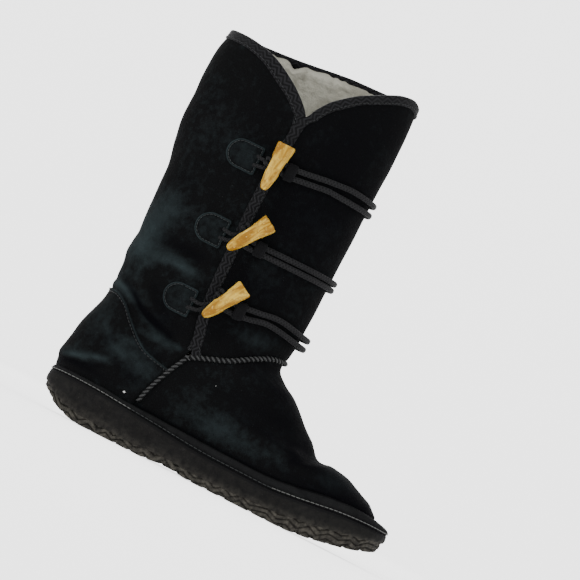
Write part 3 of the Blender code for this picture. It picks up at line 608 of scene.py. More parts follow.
def cordLook(name, light, dark, pitch=2.6, deep=0.3):
    look = Look(name, Roughness=0.8, Sheen_Weight=0.015, Sheen_Roughness=0.4, Specular_IOR_Level=0.06)
    c, s, along = look.parts("weave")
    turn = look.maths("ARCTAN2", s, c)
    left = look.wave(along * (2 * pi / pitch) + turn * 3)
    right = look.wave(along * (2 * pi / pitch) - turn * 3)
    plait = look.maths("MAXIMUM", left, right)
    fuzz = look.noise(1.2, 4, 0.7)
    # painted highlight on the plait's raised strands and painted shade between them
    tone = look.blend(look.clamped(plait * 0.8 + (fuzz - 0.5) * 0.8), dark, light)
    tone = look.blend(look.mask(look.noise(12, rough=0.5), 0.5, 2) * 0.4, tone, dark)
    return look.feed(Base_Color=tone, Normal=look.bump(plait + fuzz * 0.4, deep))


def fleeceLook():
    look = Look("fleece", Roughness=1, Sheen_Weight=0.15, Sheen_Roughness=0.6, Specular_IOR_Level=0.05)
    depth = look.value("depth")
    curls = look.noise(2.6, 5, 0.7, bend=2.2)
    wisps = look.noise(0.8, 4, 0.7, bend=1.2)
    # painted light and shade: lighter on the wool's lumps, darker between them and further into the boot
    lit = look.clamped(depth * 0.8 + (curls - 0.5) * 0.9 + 0.25)
    # both tones are darker than cream wool, a painted shade for the inside of the boot
    tone = look.blend(lit, grey(110, 108, 97), grey(152, 151, 139))
    tone = look.blend(look.mask(look.noise(11, rough=0.5), 0.5, 2) * 0.3, tone, grey(138, 134, 118))
    return look.feed(Base_Color=tone, Normal=look.bump(curls + wisps * 0.35, 1.3))


def toggleLook():
    look = Look("toggleHorn", Roughness=0.45, Coat_Weight=0.03, Coat_Roughness=0.3, Specular_IOR_Level=0.12)
    hollow = look.parts("placeAndHollowShade")[2]
    streaks = look.noise(4.4, 4, 0.55, where=look.value("streak", "Vector"), bend=0.8)
    blots = look.noise(4.2, 4)
    tone = look.blend(look.mask(streaks, 0.42, 4.5), grey(112, 76, 3), grey(162, 133, 50))
    tone = look.blend(look.mask(blots, 0.52, 7) * 0.6, tone, grey(92, 58, 2))
    tone = look.blend(look.mask(look.noise(1.8), 0.6, 8) * 0.55, tone, grey(184, 162, 98))
    # painted shade inside the bore and in the cord's slot
    tone = look.blend(hollow, tone, grey(26, 15, 6))
    rough = look.noise(7) * 0.25 + 0.32
    return look.feed(Base_Color=tone, Roughness=rough, Normal=look.bump(streaks, 0.25))


def threadLook(name, dark, light):
    look = Look(name, Roughness=0.6, Specular_IOR_Level=0.2)
    lay = look.noise(0.9)
    tone = look.blend(look.mask(lay, 0.3, 2), dark, light)
    return look.feed(Base_Color=tone, Normal=look.bump(lay, 0.15))


suedeSkin = suedeLook("suedeUpper", suedeTones)
suedeStrip = suedeLook("suedeStrip", stripTones, 0.1)
foam = foamLook()
tapeWeave = tapeLook()
cordPlait = cordLook("cordPlait", grey(26, 26, 27), grey(8, 8, 9))
keeperWrap = cordLook("keeperWrap", grey(12, 12, 13.5), grey(5, 5, 6), pitch=0.9, deep=0.15)
fleeceWool = fleeceLook()
toggleHorn = toggleLook()
thread = threadLook("weltThread", grey(42, 42, 41), grey(82, 83, 81))
ropeThread = threadLook("ropeThread", grey(11, 11, 12), grey(47, 48, 48))
darkThread = threadLook("darkThread", grey(12, 13, 13.5), grey(27, 29.5, 30))
tabThread = threadLook("tabThread", grey(14, 16, 17), grey(33, 37, 38))
lintWhite = threadLook("lintWhite", grey(120, 120, 118), grey(190, 190, 188))
print("finishes made")


def slitAngle(turn, t, shift):
    # opens the columns at the slit's middle by the slit's half gap
    s = shareFromAngle(turn, t)
    away = s - seamShare(t)
    way = np.where(shift != 0, shift, np.sign(away))
    gap = last["slitHalfGap"] / (rowValue("frontX", t) - rowValue("backX", t))
    return np.where((turn > 0) & (turn < pi), angleFromShare(s + way * gap * hill(away, 0.1), t), turn)


def upperGrid(shape):
    # angles and rows of a grid over the upper, doubled at the slit, and the row where the slit starts
    perQuarter = shape["perQuarter"]
    turns = fullTurn(4 * perQuarter)
    turns = np.insert(turns, perQuarter + 1, turns[perQuarter])
    shift = np.zeros(len(turns))
    shift[perQuarter : perQuarter + 2] = -1, 1
    isOuter = (turns > 0) & (turns < pi)
    top = np.full(len(turns), 18.0)
    for _ in range(7):
        x = bareLeather(slitAngle(turns, top, shift), top)[:, 0]
        collar = np.where(isOuter, readCurve(collarLines, x), readCurve(collarLines, x, 2))
        top = rowAtHeight(collar - shape["below"])
    foot = np.linspace(0, last["shaftRow"], shape["footRows"] + 1)
    foot[np.argmin(abs(foot - last["slitRow"]))] = last["slitRow"]
    share = np.linspace(0, 1, shape["shaftRows"] + 1)[1:, None]
    shaft = last["shaftRow"] + (top - last["shaftRow"]) * share
    t = np.concatenate((np.repeat(foot[:, None], len(turns), 1), shaft))
    return slitAngle(turns, t, shift), t, int(np.argmax(t[:, 0] >= last["slitRow"] - 1e-9))


def openFaces(shape, cuts):
    # a closed grid's faces without those in the cuts: first row, first column, column after the last
    rows, columns = shape
    keep = np.ones((rows - 1, columns), bool)
    for row, first, after in cuts:
        keep[row:, first:after] = False
    return gridFaces(rows, columns, closed=True).reshape(rows - 1, columns, 4)[keep]


vampLine = ((84.2, 77.6), (91.7, 81.3), (101.5, 85.1), (111.4, 88.9), (121.2, 94.6), (129, 99.6),
            (136, 103.6), (142, 105.6), (149, 106.6))
sideLine = ((83.4, 76), (79.6, 68), (74.6, 57.1), (71, 48), (68.6, 40.5), (66.9, 32.6))

# Faded nap and darker places: x, z, reach in x, reach in z, how much
fadedPlaces = [
    (20, 218, 15, 22, 0.1), (24, 170, 16, 16, 0.3), (19, 144, 12, 20, 0.62), (47, 136, 18, 5, 0.4),
    (20, 103, 12, 3, 0.5), (30, 99, 9, 3, 0.4), (60, 80, 18, 3, 0.38), (62, 116, 14, 12, 0.2),
    (18, 78, 9, 14, 0.25), (58, 57, 13, 9, 0.42), (37, 60, 12, 6, 0.5), (44, 70, 16, 5, 0.35),
    (14, 44, 11, 3, 0.4), (28, 49, 10, 3, 0.3), (10, 50, 5, 8, 0.15), (126, 44, 20, 10, 0.34),
    (150, 92, 14, 8, 0.1), (172, 76, 10, 9, 0.1), (173, 50, 12, 8, 0.2), (150, 40, 34, 6, 0.25),
    (100, 52, 15, 14, 0.1), (216, 44, 14, 5, 0.15), (112, 76, 16, 7, 0.1), (124, 112, 18, 6, 0.25),
    (122, 172, 30, 40, 0.08), (30, 30, 60, 3, 0.1), (66, 168, 20, 12, 0.2), (12, 262, 12, 22, 0.1),
    (54, 226, 14, 12, 0.3),
]
# painted shade: these places are darkened where shade falls, in fold hollows, at the toe, on the shaft's
# front and above the welt
darkPlaces = [
    (150, 68, 32, 11, 0.35), (190, 56, 12, 9, 0.6), (56, 250, 22, 34, 0.2), (120, 262, 36, 40, 0.4),
    (122, 206, 30, 24, 0.5), (50, 146, 20, 5, 0.4), (28, 64, 7, 7, 0.2), (22, 38, 20, 3, 0.5),
    (215, 36, 40, 5, 0.6), (56, 44, 12, 8, 0.3), (52, 93, 20, 5, 0.55), (112, 146, 30, 12, 0.3),
    (62, 70, 8, 3, 0.3), (12, 64, 9, 8, 0.2), (246, 40, 13, 6, 0.8), (160, 86, 18, 6, 0.3),
]
# Soft lines along which the nap is lighter or darker, the darker ones mostly painted shade in the troughs of
# folds: points, width, how much
fadedLines = [
    (((16, 105), (24, 102.4), (32, 97.4), (45, 89), (58, 83.6), (76, 81.4)), 2.2, 0.3),
    (((4, 40.6), (18, 46.2), (33, 51)), 1.8, 0.32),
    (((25, 113), (25, 122), (32, 130), (45, 134), (60, 134)), 2.4, 0.25),
    (((22, 72), (30, 63), (44, 58)), 1.8, 0.18), (((196, 34), (212, 37), (222, 39)), 1.6, 0.12),
]
darkLines = [
    (((20, 107), (30, 101.4), (38, 95.4), (50, 90.6), (66, 87)), 2.4, 0.65),
    (((1, 36.5), (16, 40), (34, 45)), 1.6, 0.5), (((40, 112), (46, 104), (58, 98)), 4, 0.4),
    (((203, 54.5), (193, 50), (184, 45)), 3.2, 0.5), (((34, 56), (46, 50), (62, 46)), 4, 0.25),
]


def placeAndLineMask(places, lines, points):
    x, z = points[:, 0], points[:, 2]
    inner = innerShare(points)
    plain = np.ones(len(points))
    for px, pz, rx, rz, much in places:
        plain *= 1 - much * np.exp(-((x - px) / rx) ** 2 - ((z - pz) / rz) ** 2)
    streaks = sum(much * hill(nearLine(x, z, line)[0], width) for line, width, much in lines)
    return (1 - plain) * (1 - 0.35 * inner) + streaks * (1 - inner)


def napAndShadeValues(points, base=None):
    # how faded the nap is and how much painted shade each point gets; crests are lighter, partly worn nap and
    # partly painted highlight, and troughs get painted shade
    points = np.reshape(points, (-1, 3))
    height = relief(points if base is None else np.reshape(base, (-1, 3)))
    return dict(fadeAndHighlight=placeAndLineMask(fadedPlaces, fadedLines, points) + np.clip(height, 0, 3) * 0.1,
                shade=placeAndLineMask(darkPlaces, darkLines, points) + np.clip(-height - 0.25, 0, 3) * 0.22)


upperShape = dict(perQuarter=76, footRows=86, shaftRows=126, below=0, turnedEdge=2.6,
                  seamDip=0.8, seamWide=2.6)


def makeUpper():
    perQuarter = upperShape["perQuarter"]
    angles, t, slitStart = upperGrid(upperShape)
    bare = bareLeather(angles, t)
    dips = sum(hill(nearLine(bare[..., 0], bare[..., 2], line)[0], upperShape["seamWide"])
               for line in (vampLine, sideLine))
    outer = skin(angles, t, -upperShape["seamDip"] * dips)
    faces = openFaces(t.shape, [(slitStart, perQuarter, perQuarter + 1)])
    # the leather turns in along every open edge
    edges = np.sort(np.concatenate([faces[:, [k, (k + 1) % 4]] for k in range(4)]), axis=1)
    found, times = np.unique(edges, axis=0, return_counts=True)
    rim = found[times == 1]
    spots, number = np.unique(rim, return_inverse=True)
    number = number.reshape(-1, 2) + t.size
    inside = skin(angles.ravel()[spots], t.ravel()[spots], -upperShape["turnedEdge"])
    rimFaces = np.stack((rim[:, 0], rim[:, 1], number[:, 1], number[:, 0]), -1)
    points = np.concatenate((outer.reshape(-1, 3), inside))
    values = napAndShadeValues(points, np.concatenate((bare.reshape(-1, 3), inside)))
    x, z = points[:, 0], points[:, 2]
    facesUp = softStep(outwardNormal(angles, t)[..., 2], 0.15, 0.75).ravel()
    # painted shade just above the welt and where the leather faces up into the light; the shaft's front panel
    # is darker too
    values["shade"] += 0.7 * hill(z - weltTop(x) - 0.6, 1.8)
    values["shade"] += 0.22 * softStep(x, 80, 84) * softStep(z, 92, 106)
    values["shade"] += 0.6 * np.concatenate((facesUp, facesUp[spots]))
    piece("suedeUpperSkin", points, np.concatenate((faces, rimFaces)), suedeSkin, "suede", ("upper",), values)


makeUpper()
print("upper made")

fleeceShape = dict(perQuarter=62, footRows=40, shaftRows=120, below=0.9, inset=4.25, edgeInset=3.2,
                   thick=2.2, lumps=1.9, wornAt=56.5, wornWide=3.6, wornDeep=6)


def woolLumps(points):
    curls = 1 - abs(cloud(points, 4.2, 2.3))
    small = 1 - abs(cloud(points, 2.1, 8.3))
    return 0.55 * curls + 0.3 * small + 0.3 * cloud(points, 13, 4.1)


def makeFleece():
    shape = fleeceShape
    slit = shape["perQuarter"]
    angles, t, slitStart = upperGrid(shape)
    bare = bareLeather(angles, t)
    column = np.arange(t.shape[1])[None, :]
    fromSlit = np.minimum(abs(column - slit), abs(column - slit - 1)) * 2
    fromSlit = np.where(np.arange(t.shape[0])[:, None] >= slitStart, fromSlit, 50)
    fromTop = bare[-1:, :, 2] - bare[..., 2]
    full = softStep(np.minimum(fromTop, fromSlit + 1), 0, 6)
    lumps = woolLumps(bare)
    deep = shape["inset"] + (shape["thick"] + shape["lumps"] * lumps) * full
    deep = np.where(fromTop < 0.1, shape["edgeInset"], deep)
    points = bare - outwardNormal(angles, t) * deep[..., None]
    # the upper edge is ragged, lower on the far side, with a dip worn into it
    inner = softStep(bare[..., 1], 0, 12)
    farSide = inner * softStep(bare[..., 0], 74, 92)
    ragged = 1.1 * cloud(bare, 3.4, 6) - farSide * (1.2 + 0.9 * cloud(bare, 5, 2))
    worn = shape["wornDeep"] * hill(bare[..., 0] - shape["wornAt"], shape["wornWide"]) * inner
    points[..., 2] += ragged * hill(fromTop, 3) - worn * hill(fromTop, 7)
    # painted shade: darker towards the front, deeper inside the boot, and lighter on the lumps
    depth = lumps * full - 0.7 * softStep(points[..., 0], 84, 118)
    faces = openFaces(t.shape, [(slitStart, slit - 2, slit + 3), (-2, slit - 3, slit + 4)])
    piece("fleeceLining", points, faces, fleeceWool, "fleece", (), dict(depth=depth.ravel()))


footbedShape = dict(around=180, rings=33, row=0.3, inset=4.2, thick=4, lumps=2.2, crown=2)


def makeFootbed():
    shape = footbedShape
    turns = fullTurn(shape["around"])
    rim = bareLeather(turns, shape["row"]) - outwardNormal(turns, shape["row"]) * shape["inset"]
    shares = np.linspace(1, 0, shape["rings"] + 1)[:-1, None]
    x = rim[:, 0]
    y = toeSwing(x) + (rim[:, 1] - toeSwing(x)) * shares
    lumps = woolLumps(stack(x, y, 0))
    z = soleTop(x) + shape["thick"] + shape["lumps"] * lumps + shape["crown"] * softStep(shares, 0.75, 1)
    faces = ringFaces(shape["rings"], shape["around"], (1,), 0)
    # painted light on the wool's lumps and painted shade between them
    depth = dict(depth=lumps.ravel())
    piece("fleeceFootbed", stack(x, y, z), faces, fleeceWool, "fleece", ("insole",), depth)


makeFleece()
makeFootbed()
print("fleece made")

soleShape = dict(around=760, bandRows=12, bandTop=1.8, treadRows=26, treadInset=1.3,
                 waveHigh=3.9, waveLong=16, waveDeep=0.95,
                 lugPitch=12, lugLength=8.5, grooveDeep=2.2,
                 topEdge=((14, 0.6), (4, 0.3), (1.2, 0), (0.4, 0.25), (0.08, 0.8), (0, 1.8)),
                 ovals=((34, 0, 13, 15), (196, 4.5, 17, 20), (232, 8, 13, 15)))
bandLine = ((0, 18.4), (10, 12.6), (24, 8), (39, 6.2), (70, 5.4), (106, 6.4), (130, 5.6), (150, 6.2),
            (179, 7.8), (196, 9), (214, 11.4), (232, 14.4), (250, 18), (262, 20.4), (271.5, 22.4))


def lugMask(x, y):
    # 1 on a lug, 0 in a groove between two; the grooves run across in a zigzag
    shifted = x + 1.1 * (2 * abs(np.mod(y / 13, 1) - 0.5) * 2 - 1)
    # two wide lugs, with narrow ones at an even pitch on both sides
    spans = [(48, 64), (154, 172)]
    pitch, length = soleShape["lugPitch"], soleShape["lugLength"]
    for edge, stop, way in ((48, 0, -1), (64, 154, 1), (172, 271.5, 1)):
        while (stop - edge) * way > pitch:
            spans.append(sorted((edge + way * (pitch - length), edge + way * pitch)))
            edge += way * pitch
    mask = np.zeros(np.shape(x))
    for a, b in spans:
        mask = np.maximum(mask, softStep(shifted, a - 0.5, a + 0.5) * softStep(b + 0.5 - shifted, 0, 1))
    return mask


def makeSole():
    shape = soleShape
    n = shape["around"]
    x, y = outline(fullTurn(n))
    top, under = soleTop(x), readCurve(soleLines, x, 3)
    pinked = 0.55 * abs(np.sin(pi * x / 6.5)) + 0.35 * cloud(stack(x, y, 0), 9)
    low = readCurve(bandLine, x) + pinked
    edgeLug = lugMask(x, y)
    # inward along the outline's own normal
    ahead = unit(stack(np.roll(x, -1) - np.roll(x, 1), np.roll(y, -1) - np.roll(y, 1)))
    inward = stack(-ahead[:, 1], ahead[:, 0])
    toMiddle = stack(np.clip(x, 20, 250) - x, toeSwing(x) - y)
    inward *= np.sign(np.sum(inward * toMiddle, axis=1))[:, None]
    rings, marks = [], []

    def add(inset, z, dirt=0, groove=0):
        rings.append(stack(x + inward[:, 0] * inset, y + inward[:, 1] * inset, z))
        marks.append(stack(dirt + np.zeros(n), groove))

    # rings from the top edge down the band and the tread, and then in across the underside
    for inset, drop in shape["topEdge"]:
        add(inset, top - drop)
    for share in np.arange(1, shape["bandRows"] + 1) / (shape["bandRows"] + 1):
        z = (top - shape["bandTop"]) * (1 - share) + (low + 0.9) * share
        inset = 0.18 * cloud(stack(x, y, z), 8, 1.7) - 0.25 * math.sin(pi * share)
        add(inset, z, 0.25 * softStep(share, 0.6, 1) + 0.1)
    add(0.25, low + 0.35, 0.45)
    add(0.8, low, 0.7, 0.2)
    along = x / shape["waveLong"] + 0.35 * cloud(stack(x, y, 5), 17, 9)
    zigzag = 2 * abs(np.mod(along, 1) - 0.5)
    for share in np.arange(shape["treadRows"] + 1) / shape["treadRows"]:
        z = (low - 0.35) * (1 - share) + (under + 0.7) * share
        level = (z - under) / shape["waveHigh"] + 0.95 * zigzag + 0.35 * cloud(stack(x, y, z), 12, 6)
        ledge = np.mod(level, 1)
        step = softStep(ledge, 0, 0.28) * (1 - softStep(ledge, 0.72, 1))
        inset = shape["treadInset"] + 0.5 * share + shape["waveDeep"] * (1 - step)
        inset = inset + 0.12 * cloud(stack(x, y, z), 3) + 1.5 * (1 - edgeLug) * softStep(share, 0.62, 0.98)
        add(inset, z, 1, 0.85 * (1 - step) ** 1.5)
    low = under + 0.2 + shape["grooveDeep"] * (1 - edgeLug)
    add(shape["treadInset"] + 1, low, 1, 0.3 * (1 - edgeLug))
    edgeX, edgeY = rings[-1][:, 0], rings[-1][:, 1]
    for share in (*np.linspace(1, 0.9, 6)[1:], *np.linspace(0.9, 0, 27)[1:-1]):
        acrossY = toeSwing(edgeX) + (edgeY - toeSwing(edgeX)) * share
        lug = lugMask(edgeX, acrossY)
        for cx, cy, rx, ry in shape["ovals"]:
            far = np.hypot((edgeX - cx) / rx, (acrossY - cy) / ry)
            inside = 1 - softStep(far, 0.97, 1.05)
            lug = lug * (1 - inside) + softStep(abs(np.mod(far * 3, 1) - 0.5), 0.16, 0.3) * inside
        uneven = 0.12 * cloud(stack(edgeX, acrossY, 0), 4)
        rings.append(stack(edgeX, acrossY, under + shape["grooveDeep"] * (1 - lug) + uneven))
        marks.append(stack(0.75 + 0.25 * lug, 0.65 * (1 - lug)))
    points = np.concatenate(rings)
    points[:, 2] = np.maximum(points[:, 2], 0)
    dirt, groove = np.concatenate(marks).T
    faces = ringFaces(len(rings), n, lean=0)
    piece("foamSole", points, faces, foam, "sole_foam", ("outsole",), dict(dirt=dirt, groove=groove))


makeSole()
print("sole made")

weltShape = dict(around=620, stitchPitch=3.7, stitchLong=3.3, stitchThick=0.36,
                 stitchHigh=0.42, stitchSunk=0.25,
                 profile=((-0.04, 0.45), (0, 0.72), (0.05, 0.84), (0.14, 0.95), (0.28, 1), (0.44, 0.98),
                          (0.6, 0.9), (0.74, 0.8), (0.86, 0.68), (0.95, 0.54), (1, 0.4), (1.01, 0.27),
                          (0.965, 0.19), (0.985, 0.1), (0.95, -0.06), (0.5, -0.2)))


def weltRing(turns, share, lift, proud=0):
    # share 0 lies on the leather and 1 at the sole's edge; lift 0 on the sole and 1 at the welt's top
    t = np.zeros(len(turns))
    for _ in range(10):
        point = bareLeather(turns, t)
        t = np.clip(t + (weltTop(point[:, 0]) - point[:, 2]) / 8, 0, 3)
    high = skin(turns, t, 0.2)
    x, y = outline(turns, 0.2 - proud)
    base = soleTop(x) + 0.2
    spot = high + (stack(x, y, high[:, 2]) - high) * share
    spot[:, 2] = base + (weltTop(x) - base) * lift
    return spot


def makeWelt():
    shape = weltShape
    turns = fullTurn(shape["around"])
    rings = [weltRing(turns, share, lift) for share, lift in shape["profile"]]
    points = np.concatenate([ring + stack(0, 0, 0.22 * cloud(ring, 6, 2)) for ring in rings])
    values = napAndShadeValues(points)
    lifts = np.repeat([lift for _, lift in shape["profile"]], len(turns))
    crest = softStep(lifts, 0.2, 0.6) * (1 - softStep(lifts, 0.85, 1))
    # painted highlight across the strip's rounded middle, and painted shade in the groove under the upper and
    # at the joint with the sole
    values["fadeAndHighlight"] = values["fadeAndHighlight"] * 0.3 + 0.4 * crest + 0.2
    values["shade"] = 0.95 * softStep(lifts, 0.9, 0.98) + 0.4 * (1 - softStep(lifts, 0.1, 0.25))
    faces = gridFaces(len(rings), len(turns), closed=True)
    piece("suedeWelt", points, faces, suedeStrip, "suede", ("welt",), values)
    line = weltRing(np.linspace(0, 2 * pi, 1500), 1.012, 0.19, 0.1)
    reach = reachOf(line)
    bright, worn = [], []
    for k in range(int(reach[-1] / shape["stitchPitch"])):
        path = between(k * shape["stitchPitch"] + np.linspace(0, shape["stitchLong"], 6), reach, line)
        x, _, z = path.mean(0)
        outs = unit(path - (np.clip(x, 60, 210), toeSwing(x), z))
        made = stitch(path, outs, shape["stitchThick"], shape["stitchHigh"], shape["stitchSunk"])
        # the stitches along the middle, between x 64 and 180, are darker
        (worn if 64 < x < 180 else bright).append(made)
    piece("weltStitches", *joined(bright), thread, "cord")
    piece("weltStitchesMiddle", *joined(worn), darkThread, "cord")


makeWelt()
print("welt made")

counterShape = dict(edge=((0, 99.2), (19, 98.2), (26.2, 94.5), (36.6, 84.6), (46.9, 75.4), (57, 69),
                          (75, 64.6)),
                    halfTurn=88.5, columns=230, rows=84, thick=1.65,
                    stitchFrom=2.6, stitchPitch=3, stitchLong=2.2, stitchThick=0.33)


def counterRows(turns):
    # the lowest and the highest row of the counter in each column
    t, low = np.full(len(turns), 3.0), np.full(len(turns), 0.5)
    for _ in range(14):
        point = bareLeather(abs(turns), t)
        t = np.clip(t + (readCurve(counterShape["edge"], point[:, 0]) - point[:, 2]) / 10, 0.4, 12)
        point = bareLeather(abs(turns), low)
        low = np.clip(low + (weltTop(point[:, 0]) - 1.5 - point[:, 2]) / 8, 0, 3)
    return low, t


def makeCounter():
    shape = counterShape
    turns = np.linspace(-1, 1, shape["columns"]) * math.radians(shape["halfTurn"])
    low, t = counterRows(turns)
    # rows closer together near the edge
    edgeRows = 1 - np.linspace(0.07, 0, 13) ** 1.15
    shares = np.concatenate((np.linspace(0, 0.93, shape["rows"] - 12)[:-1], edgeRows))
    levels = low + (t - low) * shares[:, None]
    angles = np.broadcast_to(np.mod(turns, 2 * pi), levels.shape)
    bare = bareLeather(angles, levels)
    fromEdge = np.linalg.norm(bare - bare[-1:], axis=-1)
    lift = shape["thick"] * softStep(fromEdge, -0.2, 1.1) + 0.42 * hill(fromEdge - 1, 0.7)
    lift = lift - 0.4 * hill(fromEdge - shape["stitchFrom"], 0.7)
    column = np.arange(len(turns))
    points = skin(angles, levels, 0.1 + lift * softStep(np.minimum(column, column[::-1]), 0, 3))
    values = napAndShadeValues(points, bare)
    # painted highlight along the bead of the folded top edge, and painted shade in the stitch groove
    values["fadeAndHighlight"] += 0.5 * hill(fromEdge - 0.8, 0.8).ravel()
    values["shade"] += 0.35 * hill(fromEdge - shape["stitchFrom"], 0.8).ravel()
    piece("heelCounterSkin", points, gridFaces(*levels.shape), suedeSkin, "suede", ("heel_counter",), values)
    row = np.argmin(abs(fromEdge - shape["stitchFrom"]), axis=0)
    angles, levels = angles[row, column], levels[row, column]
    line, outs = skin(angles, levels, 1.45), outwardNormal(angles, levels)
    piece("counterStitches", *stitchRow(line, outs, shape), darkThread, "cord")


makeCounter()
print("counter made")

# The tape's legs over the edge, in mm, and its section: share of the leg, more of it, height
tapeShape = dict(backLeg=2.2, collarLeg=7, slopeLeg=5.4, frontLeg=6.7, lapOver=4.6, lapRise=1.1,
                 notchHeight=274, widenFrom=252, lapTop=273, frontLegTop=262, step=1.05,
                 stitchInset=1.1, stitchPitch=2.8, stitchLong=1.9, stitchThick=0.26,
                 profile=((1, 0.3, 0.05), (1, 0.05, 0.75), (1, -0.4, 1.15), (0.72, 0, 1), (0.62, 0, 1.12),
                          (0.35, 0, 1.2), (0.1, 0, 1.3), (0, -0.55, 1.15), (0, -1, 0.5), (0, -1.25, -0.6),
                          (0, -1.3, -1.6), (0, -1.2, -2.8), (0, -0.8, -3.8), (0, -0.2, -4.15), (0, 2, -4.2),
                          (0, 4.6, -4.15), (0, 4.7, -3.3)))


def makeBinding():
    shape = tapeShape
    angles, t, slitStart = upperGrid(upperShape)
    count, columns = t.shape
    back, front = upperShape["perQuarter"], upperShape["perQuarter"] + 1
    slitHeight = bareLeather(angles[:, back], t[:, back])[:, 2]
    widening = softStep(slitHeight, shape["widenFrom"], shape["notchHeight"])
    backLegs = shape["backLeg"] + (shape["collarLeg"] - shape["backLeg"]) * widening
    # up the slit's back edge, once around the collar, and down the slit's front edge
    path = [(i, back, backLegs[i]) for i in range(slitStart + 4, count - 1)]
    path += [(count - 1, j % columns, shape["slopeLeg" if front <= j % columns <= 2 * back else "collarLeg"])
             for j in range(back, front - columns - 1, -1)]
    path += [(i, front, shape["slopeLeg"]) for i in range(count - 2, slitStart + 1, -1)]
    row, column, legs = (np.array(values) for values in zip(*path))
    angle, level = np.unwrap(angles[row, column]), t[row, column]
    reach = reachOf(bareLeather(angle, level))
    even = np.linspace(0, reach[-1], int(reach[-1] / shape["step"]))
    angle, level, legs = (np.interp(even, reach, values) for values in (angle, level, legs))
    legs = smoothAlong(legs[:, None], even, 5)[:, 0]
    # mm for each unit of angle and of row, and the way from the edge into the leather
    wide = bareLeather(angle + 0.01, level) - bareLeather(angle - 0.01, level)
    tall = bareLeather(angle, level + 0.02) - bareLeather(angle, level - 0.02)
    perAngle, perRow = np.linalg.norm(wide, axis=1) / 0.02, np.linalg.norm(tall, axis=1) / 0.04
    spots = bareLeather(angle, level)
    flat = unit(stack(np.gradient(angle) * perAngle, np.gradient(spots[:, 2])))
    inward = unit(smoothAlong(stack(-flat[:, 1], flat[:, 0]), even, 7))
    # below the notch the front edge laps over the back one
    isFirst = even < even[-1] / 2
    notch = np.argmin(abs(spots[:, 2] - shape["notchHeight"]) + 1e3 * isFirst)
    isFront = (even > even[-1] / 2) & (np.arange(len(even)) > notch)
    lap = isFront * softStep(shape["lapTop"] - spots[:, 2], 0, 11) * softStep(even[-1] - even, 0, 9)
    wider = isFront * softStep(shape["frontLegTop"] - spots[:, 2], 0, 26)
    legs = legs + (shape["frontLeg"] - shape["slopeLeg"]) * wider
    wavy = 0.12 * cloud(spots, 6, 3)

    def placeAt(d):
        return angle + inward[:, 0] * d / perAngle, level + inward[:, 1] * d / perRow

    lines, weave = [], []
    for share, more, height in shape["profile"]:
        d = legs * share + more - shape["lapOver"] * lap
        full = height + wavy * (height >= 1)
        if height > 0:
            full = full + shape["lapRise"] * lap * softStep(-0.5 - d, -3, 2)
        lines.append(skin(*placeAt(d), full))
        weave.append(stack(even, d, share))
    faces, weave = gridFaces(len(lines), len(even)), dict(weave=np.concatenate(weave))
    piece("bindingTape", np.stack(lines), faces, tapeWeave, "tape", ("binding",), weave)
    place = placeAt(legs - shape["stitchInset"] - shape["lapOver"] * lap)
    stitches = stitchRow(skin(*place, 1.15), outwardNormal(*place), shape)
    piece("tapeStitches", *stitches, darkThread, "cord")


makeBinding()
print("binding made")

# The raised seams, whipped over with thick thread; the side seams start under the vamp's
ropeShape = dict(half=1.75, high=2.1, thick=0.76, step=0.9, sideStart=(84.4, 79),
                 vamp=dict(pitch=3.6, reach=1.85, slant=1.5), side=dict(pitch=3.7, reach=1.5, slant=2.3))


def vampSpots():
    first, level = sidePlace(*vampLine[0])
    angles = np.linspace(float(first), pi, 150)
    t = np.full(150, float(level))
    for _ in range(7):
        t = rowAt(angles, readCurve(vampLine, bareLeather(angles, t)[:, 0]))
    return angles, t


def ropeSeam(name, node, angles, t, pitch, reach, slant):
    walked = reachOf(skin(angles, t, -0.3))
    even = np.linspace(0, walked[-1], int(walked[-1] / ropeShape["step"]))
    angles, t = np.interp(even, walked, angles), np.interp(even, walked, t)
    middle, outs = skin(angles, t, -0.3), outwardNormal(angles, t)
    tips = softStep(np.minimum(even, even[-1] - even), -0.5, 3)
    points, faces = tube(middle, outs, ropeShape["half"] * tips + 0.05, ropeShape["high"] * tips + 0.05, 12)
    values = dict(fadeAndHighlight=np.full(len(points), 0.35), shade=np.full(len(points), 0.15))
    piece(name, points, faces, suedeStrip, "suede", (node,), values)
    along, across, out = crossFrame(middle, outs)
    u = np.linspace(-1, 1, 9)[:, None]
    arch = np.sqrt(np.clip(1 - u**2, 0, 1))
    size = ropeShape["thick"] * (0.55 + 0.45 * arch[:, 0])
    parts = []
    for k in range(int((even[-1] - 1) / pitch)):
        i = min(int((1.2 + k * pitch) / ropeShape["step"]), len(even) - 1)
        lean = slant + 0.12 * math.sin(k * 2.4)
        lift = arch * (ropeShape["high"] * tips[i] + 0.25) - 0.25
        path = middle[i] + across[i] * (u * reach) + along[i] * (u * lean) + out[i] * lift
        parts.append(tube(path, across[i] * u * 0.9 + out[i] * (arch + 0.15), size * 1.1, size * 0.75, 7))
    piece(name + "Stitches", *joined(parts), ropeThread, "cord")


def makeSeams():
    angles, t = vampSpots()
    both = np.concatenate((angles, 2 * pi - angles[-2::-1])), np.concatenate((t, t[-2::-1]))
    ropeSeam("vampSeamRope", "vamp_seam", *both, **ropeShape["vamp"])
    angles, t = sidePlace(*evenPath((ropeShape["sideStart"], *sideLine), 1).T)
    ropeSeam("sideSeamRope", "side_seam", angles, t, **ropeShape["side"])
    ropeSeam("innerSeamRope", "inner_seam", 2 * pi - angles, t, **ropeShape["side"])


makeSeams()
print("seams made")

